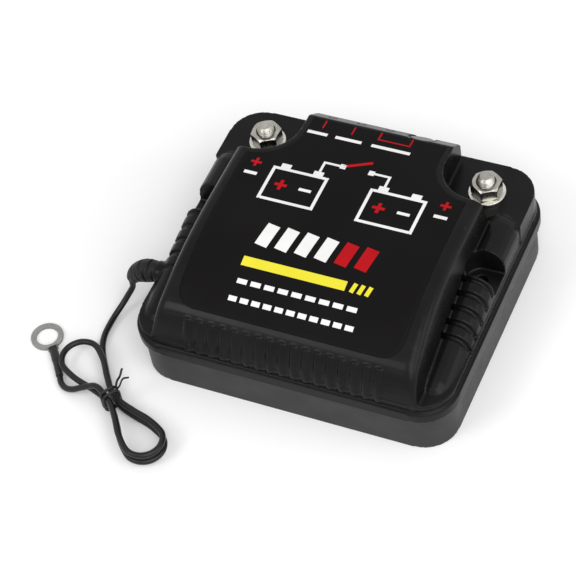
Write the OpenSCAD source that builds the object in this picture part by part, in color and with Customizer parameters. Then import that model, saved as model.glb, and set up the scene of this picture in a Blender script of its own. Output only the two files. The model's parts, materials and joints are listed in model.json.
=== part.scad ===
/* [Housing] */
// Width of the cover rim, left to right
case_w = 156; // [150:1:166]
// Depth of the cover rim, front to back
case_d = 138; // [134:1:146]
// Corner radius of the cover rim
corner_r = 18; // [16:1:20]
// How far the tray wall stands back under the rim
tray_inset = 2; // [1:0.5:2.5]
// Height of the tray wall
tray_h = 20; // [19:1:22]
// Height of the rim lip on the cover
rim_h = 6; // [5:0.5:7]
// How far the cover wall stands back above the rim lip
skirt_inset = 1.5; // [1:0.25:2]
// Height of the cover deck above the rim lip
deck_h = 4; // [4:0.5:5]
// Wall thickness of tray and cover
wall = 2.5; // [2:0.25:3]
// Thickness of the sealing gasket between tray and cover
gasket_t = 1; // [0.8:0.1:1.4]

/* [Plateau] */
// Highest point of the crowned top
crown_z = 60; // [58:0.5:62]
// Half width of the plateau at its crown
plateau_half = 60; // [58:1:61]
// How much wider each plateau side stands at the deck
flare = 5; // [3:0.5:6]
// Depth of the rounded front face
front_round = 17; // [14:1:18]
// Height of the rounded front face above the rim
front_h = 23; // [20:1:24]
// Drop of the crown from its top to the back edge
back_drop = 3; // [2:0.5:4]
// Depth of the sloped indicator strip, measured level
strip_d = 8; // [7:0.5:10]
// Fall of the sloped indicator strip
strip_fall = 7; // [6:0.5:8]
// Radius of the long edges of the plateau
edge_r = 5; // [4:0.5:6]
// Number of grip ribs on the front face
rib_count = 17; // [11:1:19]
// Distance from one grip rib to the next
rib_pitch = 5.75; // [5:0.25:5.75]

/* [Side humps] */
// Radius of the half round humps on both sides
hump_r = 9; // [8:0.5:9]
// Distance of a hump's axis from the middle
hump_x = 67; // [66.5:0.5:67]
// Height of the hump's axis over its rear half
hump_z = 37; // [35:0.5:38]
// Slope of the front half of the hump, in degrees
hump_slope = 11; // [8:1:12]
// Number of grip slots across the front half
slot_count = 5; // [3:1:5]
// Distance from one grip slot to the next
slot_pitch = 7.25; // [6:0.25:7.25]
// Diameter of the mounting screw wells
well_d = 14; // [13:0.5:14]
// Distance of the wells in front of the studs
well_ahead = 42; // [40:1:44]
// Diameter of the mounting screw holes
mount_hole = 5.5; // [5:0.25:6]

/* [Terminals] */
// Distance of each stud from the middle
stud_x = 55; // [54:0.5:56]
// Distance of the studs in front of the rear rim
stud_back = 20.5; // [20:0.5:22]
// Height of the terminal platforms
platform_z = 42; // [41:0.5:43]
// Diameter of the terminal studs
stud_d = 8; // [7:0.5:8]
// Height of the stud ends above the platform
stud_rise = 12; // [11.5:0.5:15]
// Thread pitch of studs and nuts
thread_pitch = 1.25; // [1:0.25:1.5]
// Distance across the flats of the nuts
nut_af = 13; // [12:0.5:13]
// Height of the nuts
nut_h = 6.5; // [6:0.25:7]
// Diameter of the washers
washer_d = 17.5; // [16:0.5:18]
// Thickness of the washers
washer_t = 1.8; // [1.5:0.1:2]
// Radius of the round pocket about each stud
pocket_r = 19; // [17:0.5:19]
// Width of the copper bars
bar_w = 12; // [10:1:12]
// Thickness of the copper bars
bar_t = 2; // [1.5:0.25:2]

/* [Relay] */
// Contact gap, the travel of the plunger
contact_gap = 2.5; // [2:0.25:3]
// Radius of the coil winding
coil_r = 14; // [12:0.5:14]
// Height of the coil winding
coil_h = 15; // [13:0.5:15]
// Thickness of the steel frame
yoke_t = 3; // [2.5:0.25:3]
// Depth of the steel frame
yoke_d = 24; // [20:1:26]
// Radius of the iron core
core_r = 5; // [4:0.5:5]
// Height and radius of the contact buttons
contact_t = 1.5; // [1:0.25:1.5]

/* [Electronics] */
// Width of the main circuit board
board_w = 96; // [80:2:100]
// Depth of the main circuit board
board_d = 32; // [28:1:34]
// Thickness of the circuit boards
board_t = 1.6; // [1.2:0.2:1.6]
// Height of the posts under the main board
post_h = 6; // [5:0.5:8]
// Diameter of the indicator lights
led_d = 3; // [3:0.5:4]
// Diameter of the reset button
button_d = 11; // [9:0.5:11]
// Travel of the reset button
button_travel = 1.2; // [0.8:0.1:1.5]

/* [Ground lead] */
// Diameter of the ground lead
lead_d = 2.9; // [2.4:0.1:2.9]
// Diameter of the strain relief at the housing
boot_d = 11; // [9:0.5:11]
// Bore of the ring terminal
ring_bore = 10.5; // [8:0.5:11]
// Outer diameter of the ring terminal
ring_d = 15.5; // [13:0.5:16]

/* [Hidden] */
over = 0.1;
fine = 96;
smooth = 48;
fit = 0.05;
seat = 0.3;

// Levels and outlines shared by tray and cover
rim_z = tray_h + gasket_t;
deck_z = rim_z + rim_h;
deck_top = deck_z + deck_h;
half_d = case_d / 2;
plateau_inset = 2.6;
back_wall_y = half_d - plateau_inset;
front_wall_y = -half_d + skirt_inset;
deck_mid = deck_z + deck_h / 2;
stud_y = half_d - stud_back;
well_y = stud_y - well_ahead;
strip_y = back_wall_y - strip_d;
back_top_z = crown_z - back_drop;
strip_low_z = back_top_z - strip_fall;

function both() = [-1, 1];
function steps(count) = [for (i = [0:count]) i / count];

// The crowned top: rear strip, crown and the rounded front face, as [y, z]
shoulder_turn = 16;
front_arc_y = front_wall_y + front_round;
shoulder_y = front_arc_y - front_round * sin(shoulder_turn);
shoulder_z = deck_z + front_h * cos(shoulder_turn);
crown_power = 2.5;
back_power = 2;
front_end_turn = 86;
function crown_at(y) = y < 0
    ? crown_z - (crown_z - shoulder_z) * pow(y / shoulder_y, crown_power)
    : crown_z - back_drop * pow(y / strip_y, back_power);
back_steps = 5;
crown_steps = 9;
front_steps = 8;
function front_at(a) = [front_arc_y - front_round * sin(a), deck_z + front_h * cos(a)];
front_path = [for (t = steps(front_steps))
    front_at(shoulder_turn + (front_end_turn - shoulder_turn) * t)];
crown_path = concat(
    [for (t = steps(back_steps)) [strip_y * (1 - t), crown_at(strip_y * (1 - t))]],
    [for (t = steps(crown_steps)) if (t > 0 && t < 1) [shoulder_y * t, crown_at(shoulder_y * t)]]
);
top_path = concat([[back_wall_y, strip_low_z]], crown_path, front_path);

// One cross section of the plateau: a flat top, round edges and flared sides
edge_steps = 5;
function side_x(z, inset) = plateau_half - inset
    + flare * (crown_z - z) / (crown_z - deck_z);
function section(y, top, low, inset) = let (
        r = min(edge_r, (top - low) / 2),
        shoulder = side_x(top - r, inset) - r,
        arc = [for (t = steps(edge_steps)) [shoulder + r * cos(90 * t), top - r + r * sin(90 * t)]],
        right = concat([[side_x(low, inset), low]], arc)
    ) concat(
        [for (p = right) [p[0], y, p[1]]],
        [for (i = [len(right) - 1:-1:0]) [-right[i][0], y, right[i][1]]]
    );

// A closed body from rings of equal length, each ring a list of points
module loft(rings) {
    n = len(rings[0]);
    last = len(rings) - 1;
    polyhedron(
        points = [for (ring = rings) each ring],
        faces = concat(
            [for (k = [0:last - 1], i = [0:n - 1]) let (j = (i + 1) % n)
                each [[k * n + i, (k + 1) * n + j, k * n + j],
                      [k * n + i, (k + 1) * n + i, (k + 1) * n + j]]],
            [[for (i = [0:n - 1]) i]],
            [[for (i = [n - 1:-1:0]) last * n + i]]
        )
    );
}

module rounded_plate(w, d, r, h) {
    linear_extrude(h) {
        square([w - 2 * r, d], center = true);
        square([w, d - 2 * r], center = true);
        for (sx = both(), sy = both())
            translate([sx * (w / 2 - r), sy * (d / 2 - r)]) circle(r, $fn = fine);
    }
}

module case_plate(inset, h) {
    rounded_plate(case_w - 2 * inset, case_d - 2 * inset, corner_r - inset, h);
}

module at_studs() {
    for (s = both()) translate([s * stud_x, stud_y, 0]) children();
}

module at_wells() {
    for (s = both()) translate([s * well_x, well_y, 0]) rotate([0, 0, 90 - s * 90]) children();
}

// A round well that runs out through the outer side of its hump
module open_well(d, h) {
    hull() for (x = [0, hump_r]) translate([x, 0, 0]) cylinder(d = d, h = h, $fn = fine);
}

// The wells stand on the hump axis and end at the hump's crest
well_x = hump_x;
well_top_z = hump_z + hump_r + seat;
well_low_z = rim_z + gasket_t;
well_floor_t = 11;
well_boss_d = 2 * (case_w / 2 - tray_inset - wall - well_x) - seat;

// Case screws rise through the tray into posts under the cover
screw_d = 3.5;
screw_head_d = 6.5;
screw_head_h = 2;
screw_len = 16;
screw_hole_d = 2.9;
post_d = 8;
pad_h = 4;
screw_inset_x = 14;
screw_inset_y = 12;
screw_x = case_w / 2 - screw_inset_x;
screw_y = case_d / 2 - screw_inset_y;
module at_case_screws() {
    for (sx = both(), sy = both()) translate([sx * screw_x, sy * screw_y, 0]) children();
}

// Places inside the housing
yoke_half = coil_r + yoke_t;
relay_foot_z = wall + yoke_t;
board_z = wall + post_h;
board_inset = 7;
board_y = front_wall_y + board_d / 2 + board_inset;
board_screw_d = 2.5;
board_screw_share = 0.44;
module at_board_screws() {
    for (s = both()) translate([s * board_w * board_screw_share, board_y, 0]) children();
}

relay_lug = 7;
relay_y = 6;
module at_relay_screws() {
    for (s = both())
        translate([s * (yoke_half + yoke_t + relay_lug / 2), relay_y, 0]) children();
}

module base_tray() {
    color("#2b2b2b")
    difference() {
        union() {
            difference() {
                case_plate(tray_inset, tray_h);
                translate([0, 0, wall]) case_plate(tray_inset + wall, tray_h);
            }
            at_wells() cylinder(d = well_boss_d, h = well_low_z, $fn = fine);
            at_case_screws() cylinder(d = post_d + wall, h = wall + pad_h, $fn = smooth);
            at_board_screws() cylinder(d = 2 * board_screw_d + wall, h = board_z, $fn = smooth);
            at_relay_screws() cylinder(d = relay_lug, h = relay_foot_z, $fn = smooth);
        }
        at_wells() translate([0, 0, -over])
            cylinder(d = mount_hole, h = well_low_z + 2 * over, $fn = fine);
        at_case_screws() {
            translate([0, 0, -over]) cylinder(d = screw_head_d + wall / 2, h = wall + over, $fn = smooth);
            cylinder(d = screw_d + 2 * fit, h = wall + pad_h + over, $fn = smooth);
        }
        at_board_screws() translate([0, 0, wall])
            cylinder(d = board_screw_d, h = board_z, $fn = smooth);
        at_relay_screws() translate([0, 0, wall / 2])
            cylinder(d = board_screw_d, h = relay_foot_z, $fn = smooth);
    }
}

gasket_w = 1.6;
module tray_gasket() {
    color("#1a1a1a")
    translate([0, 0, tray_h]) difference() {
        case_plate(tray_inset, gasket_t);
        translate([0, 0, -over]) case_plate(tray_inset + gasket_w, gasket_t + 2 * over);
    }
}

// Outer and inner form of the plateau; the inner one stands a wall inside
module plateau(inset, low) {
    loft([for (p = top_path)
        if (p[1] - inset > low + inset)
            section(p[0] * (1 - inset / half_d), p[1] - inset, low, inset)]);
}

// Round pockets about the studs, open to the sides and the rear
module pockets(r, low) {
    at_studs() translate([0, 0, low]) cylinder(r = r, h = crown_z, $fn = fine);
    for (s = both()) translate([s * stud_x - r, stud_y, low])
        cube([2 * r, case_d, crown_z]);
    for (s = both()) translate([s * (stud_x + case_w / 2) - case_w / 2, stud_y - r / 2, low])
        cube([case_w, case_d, crown_z]);
}

platform_inset = 2;
platform_front = 34;
module platforms(inset, low, top) {
    intersection() {
        translate([0, 0, low]) case_plate(platform_inset + inset, top - low);
        for (s = both())
            translate([s * (stud_x + inset) - stud_x / 2, platform_front + inset, low])
                cube([stud_x, case_d, crown_z]);
    }
}

// A half round hump, level behind the well and sloping down in front of it
hump_front = 62;
hump_rear = 40;
hump_sides = 10;
// Angles of the rings that round off each end of a hump
hump_dome = [75, 50, 25, 0];
function hump_fall(y) = max(well_y - y, 0) * tan(hump_slope);
function hump_stations(r) = concat(
    [for (a = hump_dome) [hump_rear - hump_r + r * sin(a), r * cos(a)]],
    [[well_y, r]],
    [for (i = [len(hump_dome) - 1:-1:0]) let (a = hump_dome[i])
        [-hump_front + hump_r - r * sin(a), r * cos(a)]]
);
function hump_ring(y, r, low) = let (z = hump_z - hump_fall(y)) concat(
    [[hump_x - r, y, low], [hump_x + r, y, low]],
    [for (t = steps(hump_sides)) [hump_x + r * cos(180 * t), y, z + r * sin(180 * t)]]
);
module humps(inset) {
    for (s = both()) mirror([1 - s, 0, 0])
        loft([for (h = hump_stations(hump_r - inset)) hump_ring(h[0], h[1], deck_mid - inset)]);
}

// Grip slots across the front of each hump
slot_w = 2.6;
slot_deep = 1.6;
slot_first = 9;
module hump_slots() {
    for (s = both(), k = [0:slot_count - 1])
        translate([s * hump_x, well_y - slot_first - k * slot_pitch,
                   hump_z - (slot_first + k * slot_pitch) * tan(hump_slope)])
            rotate([90, 0, 0]) translate([0, 0, -slot_w / 2]) difference() {
                cylinder(r = hump_r + slot_deep, h = slot_w, $fn = smooth);
                translate([0, 0, -over])
                    cylinder(r = hump_r - slot_deep, h = slot_w + 2 * over, $fn = smooth);
                translate([-s * hump_r * 2 - hump_r, -2 * hump_r, -over])
                    cube([2 * hump_r, 4 * hump_r, slot_w + 2 * over]);
                translate([-2 * hump_r, -4 * hump_r, -over])
                    cube([4 * hump_r, 4 * hump_r, slot_w + 2 * over]);
            }
}

// Grip ribs that sweep down the rounded front face
rib_w = 2.4;
rib_out = 0.9;
rib_start = 24;
rib_steps = 6;
function rib_edge(r) = [for (t = steps(rib_steps)) let (
    a = shoulder_turn + rib_start + (front_end_turn - shoulder_turn - rib_start) * t)
    [front_arc_y - (front_round + r) * sin(a), deck_z + (front_h + r) * cos(a)]];
module ribs() {
    outer = rib_edge(rib_out);
    inner = rib_edge(-rib_out);
    for (k = [0:rib_count - 1])
        translate([(k - (rib_count - 1) / 2) * rib_pitch - rib_w / 2, 0, 0])
            rotate([90, 0, 90]) linear_extrude(rib_w)
                polygon(concat(outer, [for (i = [len(inner) - 1:-1:0]) inner[i]]));
}

// The sloped strip carries three lights and the reset button
strip_turn = -atan2(strip_fall, strip_d);
strip_mid_y = (strip_y + back_wall_y) / 2;
strip_mid_z = (back_top_z + strip_low_z) / 2;
module on_strip(x) {
    translate([x, strip_mid_y, strip_mid_z]) rotate([strip_turn, 0, 0]) children();
}
led_pitch = 14.5;
led_first = -26;
button_x = 19;
led_count = 3;
function led_x(i) = led_first + led_pitch * i;
led_rise = 0.4;
button_rise = 0.5;
button_gap = 0.35;
dish_rim = 1.5;
dish_d = button_d + 2 * dish_rim;
dish_depth = 0.8;
guide_wall = 1.2;
guide_h = 3;

strip_board_len = 66;
strip_board_w = 11.5;
strip_board_low = 12.5;
strip_screw_x = strip_board_len / 2 - board_screw_d + seat;
strip_boss_d = 4;
led_flange = 0.8;

boss_d = stud_d + 2 * wall;
boss_drop = 3.5;
boss_low = platform_z - wall - boss_drop;
well_wall = 1.2;
boot_y = -31;
boot_z = 30;
boot_neck_d = 6.5;
gland_len = case_w / 2 - hump_x + hump_r / 2;
module top_cover() {
    color("#161616")
    difference() {
        union() {
            difference() {
                union() {
                    translate([0, 0, rim_z]) case_plate(0, rim_h);
                    translate([0, 0, deck_z]) case_plate(skirt_inset, deck_h);
                    difference() {
                        plateau(0, deck_mid);
                        pockets(pocket_r, platform_z);
                    }
                    platforms(0, deck_z, platform_z);
                    humps(0);
                    ribs();
                }
                translate([0, 0, rim_z - over]) case_plate(tray_inset + wall, rim_h + deck_h - wall);
                difference() {
                    plateau(wall, deck_z);
                    pockets(pocket_r + wall, platform_z - wall);
                }
                platforms(wall, rim_z, platform_z - wall);
                humps(wall + seat);
                hump_slots();
            }
            intersection() {
                at_wells() translate([0, 0, well_low_z])
                    open_well(well_d + 2 * well_wall, crown_z / 2);
                union() {
                    case_plate(skirt_inset, deck_top);
                    humps(0);
                    plateau(0, deck_mid);
                }
            }
            at_studs() translate([0, 0, boss_low])
                cylinder(d = boss_d, h = platform_z - boss_low - wall / 2, $fn = fine);
            for (sx = both(), sy = both()) translate([sx * screw_x, sy * screw_y, wall + pad_h])
                cylinder(d = post_d, $fn = smooth,
                    h = (sy > 0 ? platform_z : deck_top) - wall / 2 - wall - pad_h);
            on_strip(button_x) translate([0, 0, -wall - guide_h])
                cylinder(d = button_d + 2 * (button_gap + guide_wall), h = guide_h + wall / 2, $fn = fine);
            for (s = both()) on_strip(s * strip_screw_x) translate([0, 0, -strip_board_low])
                cylinder(d = strip_boss_d, h = strip_board_low - wall / 2, $fn = smooth);
            translate([-case_w / 2, boot_y, boot_z]) rotate([0, 90, 0])
                cylinder(d = boot_d, h = gland_len, $fn = smooth);
        }
        at_wells() {
            translate([0, 0, well_low_z + well_floor_t])
                open_well(well_d, well_top_z - well_low_z - well_floor_t);
            translate([0, 0, rim_z - over])
                cylinder(d = mount_hole, h = well_top_z - rim_z, $fn = fine);
        }
        at_studs() translate([0, 0, boss_low - over])
            cylinder(d = stud_d + 2 * fit, h = crown_z, $fn = fine);
        at_case_screws() translate([0, 0, wall + pad_h - over])
            cylinder(d = screw_hole_d, h = screw_len, $fn = smooth);
        on_strip(button_x) {
            translate([0, 0, -wall - guide_h - over])
                cylinder(d = button_d + 2 * button_gap, h = crown_z, $fn = fine);
            translate([0, 0, -dish_depth]) cylinder(d = dish_d, h = crown_z, $fn = fine);
        }
        for (i = [0:led_count - 1]) on_strip(led_x(i)) translate([0, 0, -crown_z / 4])
            cylinder(d = led_d + 2 * fit, h = crown_z, $fn = smooth);
        for (s = both()) on_strip(s * strip_screw_x) translate([0, 0, -strip_board_low - over])
            cylinder(d = board_screw_d, h = strip_board_low + over - wall, $fn = smooth);
        translate([-case_w, boot_y, boot_z]) rotate([0, 90, 0])
            cylinder(d = boot_neck_d + 2 * fit, h = case_w / 2 + gland_len + over, $fn = smooth);
    }
}

// A thin label film lies on the crown between the edges and the pockets
film_t = 0.3;
function film_ring(p) = let (x = side_x(p[1] - edge_r, 0) - edge_r)
    [[x, p[0], p[1]], [x, p[0], p[1] + film_t], [-x, p[0], p[1] + film_t], [-x, p[0], p[1]]];
module label_film() {
    color("#0d0d0d")
    difference() {
        loft([for (p = crown_path) film_ring(p)]);
        pockets(pocket_r + edge_r / 2, 0);
    }
}

module case_screws() {
    color("#8d8f92")
    at_case_screws() {
        translate([0, 0, wall - screw_head_h])
            cylinder(d = screw_head_d, h = screw_head_h, $fn = smooth);
        translate([0, 0, wall]) cylinder(d = screw_hole_d, h = screw_len - wall, $fn = smooth);
    }
}

// A stud: square head under the bar, plain shank, thread rings to a pointed end
head_h = 4;
thread_low = platform_z + washer_t;
stud_top = platform_z + stud_rise;
thread_depth = 0.45;
point_h = 1.2;
thread_turns = floor((stud_top - point_h - thread_low) / thread_pitch);
function thread_profile() = concat(
    [[0, boss_low - bar_t], [stud_d / 2, boss_low - bar_t], [stud_d / 2, thread_low]],
    [for (i = [0:thread_turns - 1]) each [
        [stud_d / 2, thread_low + i * thread_pitch],
        [stud_d / 2 - thread_depth, thread_low + (i + 1 / 2) * thread_pitch]]],
    [[stud_d / 2, thread_low + thread_turns * thread_pitch],
     [stud_d / 2 - point_h, stud_top], [0, stud_top]]
);
module stud(s) {
    color("#b9bab5") translate([s * stud_x, stud_y, 0]) {
        rotate_extrude($fn = fine) polygon(thread_profile());
        translate([0, 0, boss_low - bar_t - head_h])
            cylinder(d = nut_af / cos(30), h = head_h, $fn = 6);
    }
}
module main_stud() { stud(-1); }
module aux_stud() { stud(1); }

module washer(s) {
    color("#c9c9c4") translate([s * stud_x, stud_y, platform_z]) difference() {
        cylinder(d = washer_d, h = washer_t, $fn = fine);
        translate([0, 0, -over]) cylinder(d = stud_d + 2 * fit, h = washer_t + 2 * over, $fn = fine);
    }
}
module main_washer() { washer(-1); }
module aux_washer() { washer(1); }

nut_chamfer = 0.9;
module nut(s) {
    tip_r = nut_af / 2 / cos(30);
    color("#aeb0aa") translate([s * stud_x, stud_y, platform_z + washer_t]) difference() {
        intersection() {
            cylinder(r = tip_r, h = nut_h, $fn = 6);
            rotate_extrude($fn = fine) polygon([
                [0, 0], [tip_r - nut_chamfer, 0], [tip_r, nut_chamfer / 2],
                [tip_r, nut_h - nut_chamfer], [nut_af / 2 - nut_chamfer / 2, nut_h], [0, nut_h]]);
        }
        translate([0, 0, -over]) cylinder(d = stud_d + 2 * fit, h = nut_h + 2 * over, $fn = fine);
    }
}
module main_nut() { nut(-1); }
module aux_nut() { nut(1); }

// A copper bar runs from each stud to the contact beside the plunger
contact_x = 18;
bar_z = boss_low - bar_t;
bar_len = norm([stud_x - contact_x, stud_y - relay_y]);
bar_turn = atan2(stud_y - relay_y, stud_x - contact_x);
module busbar(s) {
    color("#b87333") mirror([1 - s, 0, 0]) difference() {
        translate([contact_x, relay_y, bar_z]) rotate([0, 0, bar_turn]) {
            translate([0, -bar_w / 2, 0]) cube([bar_len, bar_w, bar_t]);
            cylinder(d = bar_w, h = bar_t, $fn = smooth);
            translate([bar_len, 0, 0]) cylinder(d = bar_w, h = bar_t, $fn = smooth);
        }
        translate([stud_x, stud_y, bar_z - over])
            cylinder(d = stud_d, h = bar_t + 2 * over, $fn = fine);
    }
}
module main_busbar() { busbar(-1); }
module aux_busbar() { busbar(1); }

contact_d = 8;
module fixed_contacts() {
    color("#d8d8d8") for (s = both())
        translate([s * contact_x, relay_y, boss_low])
            cylinder(d = contact_d, h = contact_t, $fn = smooth);
}

// Relay: frame, core, bobbin and winding stand on two lugs of the tray
flange_t = 1.5;
bobbin_z = relay_foot_z + yoke_t;
bobbin_top = bobbin_z + coil_h + 2 * flange_t;
frame_top = bobbin_top + flange_t;
armature_t = 2.5;
armature_z = bar_z - seat - armature_t;
module relay_frame() {
    color("#9a9ca0") translate([0, relay_y, 0]) difference() {
        union() {
            translate([-yoke_half - yoke_t - relay_lug, -yoke_d / 2, relay_foot_z])
                cube([2 * (yoke_half + yoke_t + relay_lug), yoke_d, yoke_t]);
            for (s = both())
                translate([s * (yoke_half + yoke_t / 2) - yoke_t / 2, -yoke_d / 2, relay_foot_z])
                    cube([yoke_t, yoke_d, armature_z - contact_gap - seat - relay_foot_z]);
        }
        translate([0, 0, relay_foot_z - over])
            cylinder(r = core_r / 2, h = yoke_t + 2 * over, $fn = smooth);
        for (s = both()) translate([s * (yoke_half + yoke_t + relay_lug / 2), 0, relay_foot_z - over])
            cylinder(d = screw_d, h = yoke_t + 2 * over, $fn = smooth);
    }
}
module relay_core() {
    color("#7d8085") translate([0, relay_y, 0]) {
        translate([0, 0, relay_foot_z]) cylinder(r = core_r / 2, h = yoke_t, $fn = smooth);
        translate([0, 0, bobbin_z])
            cylinder(r = core_r, h = armature_z - contact_gap - seat - bobbin_z, $fn = smooth);
    }
}
bobbin_wall = 1.2;
module coil_bobbin() {
    color("#e8e4d6") translate([0, relay_y, bobbin_z]) difference() {
        union() {
            cylinder(r = coil_r + flange_t, h = flange_t, $fn = fine);
            cylinder(r = core_r + bobbin_wall, h = coil_h + 2 * flange_t, $fn = fine);
            translate([0, 0, coil_h + flange_t]) cylinder(r = coil_r + flange_t, h = flange_t, $fn = fine);
        }
        translate([0, 0, -over])
            cylinder(r = core_r + fit, h = coil_h + 2 * flange_t + 2 * over, $fn = fine);
    }
}
module coil_winding() {
    color("#b5651d") translate([0, relay_y, bobbin_z + flange_t]) difference() {
        cylinder(r = coil_r, h = coil_h, $fn = fine);
        translate([0, 0, -over])
            cylinder(r = core_r + bobbin_wall, h = coil_h + 2 * over, $fn = fine);
    }
}
relay_head_h = 1.8;
module relay_screws() {
    color("#8d8f92") at_relay_screws() {
        translate([0, 0, relay_foot_z + yoke_t])
            cylinder(d = 2 * board_screw_d, h = relay_head_h, $fn = smooth);
        translate([0, 0, wall / 2 + over])
            cylinder(d = board_screw_d, h = relay_foot_z + yoke_t - wall / 2, $fn = smooth);
    }
}

// The moving iron carries a rod and, above the fixed contacts, the bridge
rod_r = 2.5;
bridge_t = 2;
bridge_z = boss_low + contact_t + contact_gap + seat + contact_t;
bridge_w = 9;
module armature() {
    color("#86898d") translate([0, relay_y, 0]) {
        translate([-yoke_half - yoke_t, -yoke_d / 2, armature_z])
            cube([2 * (yoke_half + yoke_t), yoke_d, armature_t]);
        translate([0, 0, armature_z + armature_t])
            cylinder(r = rod_r, h = bridge_z + bridge_t + contact_t - armature_z - armature_t, $fn = smooth);
        translate([0, 0, armature_z + armature_t])
            cylinder(r = 2 * rod_r, h = bridge_z - armature_z - armature_t, $fn = smooth);
    }
}
module contact_bridge() {
    color("#c47a3a") translate([0, relay_y, bridge_z]) {
        difference() {
            translate([-contact_x, -bridge_w / 2, 0]) cube([2 * contact_x, bridge_w, bridge_t]);
            translate([0, 0, -over]) cylinder(r = rod_r, h = bridge_t + 2 * over, $fn = smooth);
        }
        for (s = both()) translate([s * (contact_x - bridge_w / 4), 0, -contact_t])
            cylinder(d = bridge_w - contact_t, h = contact_t, $fn = smooth);
    }
}
module bridge_clip() {
    color("#8d8f92") translate([0, relay_y, bridge_z + bridge_t]) difference() {
        cylinder(r = 2 * rod_r, h = contact_t / 2, $fn = smooth);
        translate([0, 0, -over]) cylinder(r = rod_r, h = contact_t, $fn = smooth);
    }
}

// An unbroken tube of round section along a list of points; each ring keeps
// the side direction of the ring before it, so that the tube never twists
function unit(v) = v / norm(v);
function way(p, i) = unit(p[min(i + 1, len(p) - 1)] - p[max(i - 1, 0)]);
function square_to(a, d) = unit(a - (a * d) * d);
function first_side(d) = unit(cross(abs(d[2]) > abs(d[0]) ? [1, 0, 0] : [0, 0, 1], d));
function side_ways(p) = [for (i = 0, a = first_side(way(p, 0)); i < len(p);
    i = i + 1, a = square_to(a, way(p, min(i, len(p) - 1)))) a];
function ring_at(mid, d, a, r, sides) = let (b = cross(d, a))
    [for (k = [0:sides - 1]) mid + r * (cos(360 * k / sides) * a + sin(360 * k / sides) * b)];
module tube(p, r, sides) {
    ways = side_ways(p);
    loft([for (i = [0:len(p) - 1]) ring_at(p[i], way(p, i), ways[i], is_list(r) ? r[i] : r, sides)]);
}

// A coil spring about the vertical axis
spring_wire = 0.7;
spring_rings = 12;
spring_sides = 6;
module coil_spring(r, h, turns) {
    tube([for (i = [0:turns * spring_rings]) [
            r * cos(360 * i / spring_rings), r * sin(360 * i / spring_rings),
            spring_wire / 2 + (h - spring_wire) * i / (turns * spring_rings)]],
        spring_wire / 2, spring_sides);
}
return_turns = 3;
module return_spring() {
    color("#a7a9ab") translate([0, relay_y, bobbin_top + fit])
        coil_spring((core_r + coil_r) / 2, armature_z - bobbin_top - 2 * fit, return_turns);
}

module circuit_board() {
    color("#1f5a34") difference() {
        translate([-board_w / 2, board_y - board_d / 2, board_z]) cube([board_w, board_d, board_t]);
        at_board_screws() translate([0, 0, board_z - over])
            cylinder(d = board_screw_d + 2 * fit, h = board_t + 2 * over, $fn = smooth);
    }
}
part_z = board_z + board_t;
resistor_x_share = 0.3;
resistor_len = 21;
resistor_w = 8;
module power_resistor() {
    color("#dfe3e0") translate([-board_w * resistor_x_share, board_y, part_z + resistor_w / 2])
        cube([resistor_len, resistor_w, resistor_w], center = true);
}
capacitor_d = 8;
capacitor_h = 11;
capacitor_count = 3;
capacitor_step = 11;
capacitor_share = 0.2;
module capacitors() {
    color("#24303f") for (k = [0:capacitor_count - 1])
        translate([capacitor_d + k * capacitor_step, board_y - board_d * capacitor_share, part_z])
            cylinder(d = capacitor_d, h = capacitor_h, $fn = smooth);
}
// Place and size of each chip as shares of the board's width and depth
chip_shares = [[-0.05, 0.25, 0.1, 0.18], [0.12, 0.28, 0.14, 0.2], [0.33, 0.24, 0.08, 0.16]];
chip_h = 2.2;
module control_chips() {
    color("#1c1c1e") for (c = chip_shares)
        translate([board_w * (c[0] - c[2] / 2), board_y + board_d * (c[1] - c[3] / 2), part_z])
            cube([board_w * c[2], board_d * c[3], chip_h]);
}
module board_screws() {
    color("#8d8f92") at_board_screws() {
        translate([0, 0, part_z]) cylinder(d = 2 * board_screw_d, h = relay_head_h, $fn = smooth);
        translate([0, 0, wall + over]) cylinder(d = board_screw_d, h = part_z - wall, $fn = smooth);
    }
}

// A narrow board under the strip carries the lights and the switch
module indicator_board() {
    color("#1f5a34") on_strip(0) difference() {
        translate([-strip_board_len / 2, -strip_board_w / 2, -strip_board_low - board_t])
            cube([strip_board_len, strip_board_w, board_t]);
        for (s = both()) translate([s * strip_screw_x, 0, -strip_board_low - board_t - over])
            cylinder(d = board_screw_d + 2 * fit, h = board_t + 2 * over, $fn = smooth);
    }
}
module indicator_screws() {
    color("#8d8f92") for (s = both()) on_strip(s * strip_screw_x) {
        translate([0, 0, -strip_board_low - board_t - relay_head_h])
            cylinder(d = 2 * board_screw_d - 2 * fit, h = relay_head_h, $fn = smooth);
        translate([0, 0, -strip_board_low - board_t])
            cylinder(d = board_screw_d, h = strip_board_low + board_t - wall, $fn = smooth);
    }
}
module indicator_led(i) {
    color("#d8e8d8") on_strip(led_x(i)) {
        translate([0, 0, led_rise - led_d / 2]) sphere(d = led_d, $fn = smooth);
        translate([0, 0, -strip_board_low])
            cylinder(d = led_d, h = strip_board_low + led_rise - led_d / 2, $fn = smooth);
        translate([0, 0, -strip_board_low])
            cylinder(d = led_d + 2 * led_flange, h = led_flange, $fn = smooth);
    }
}
module power_led() { indicator_led(0); }
module charging_led() { indicator_led(1); }
module override_led() { indicator_led(2); }

switch_w = 6;
switch_h = 3.2;
module tact_switch() {
    color("#2c2c2e") on_strip(button_x)
        translate([-switch_w / 2, -switch_w / 2, -strip_board_low])
            cube([switch_w, switch_w, switch_h]);
}
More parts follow.
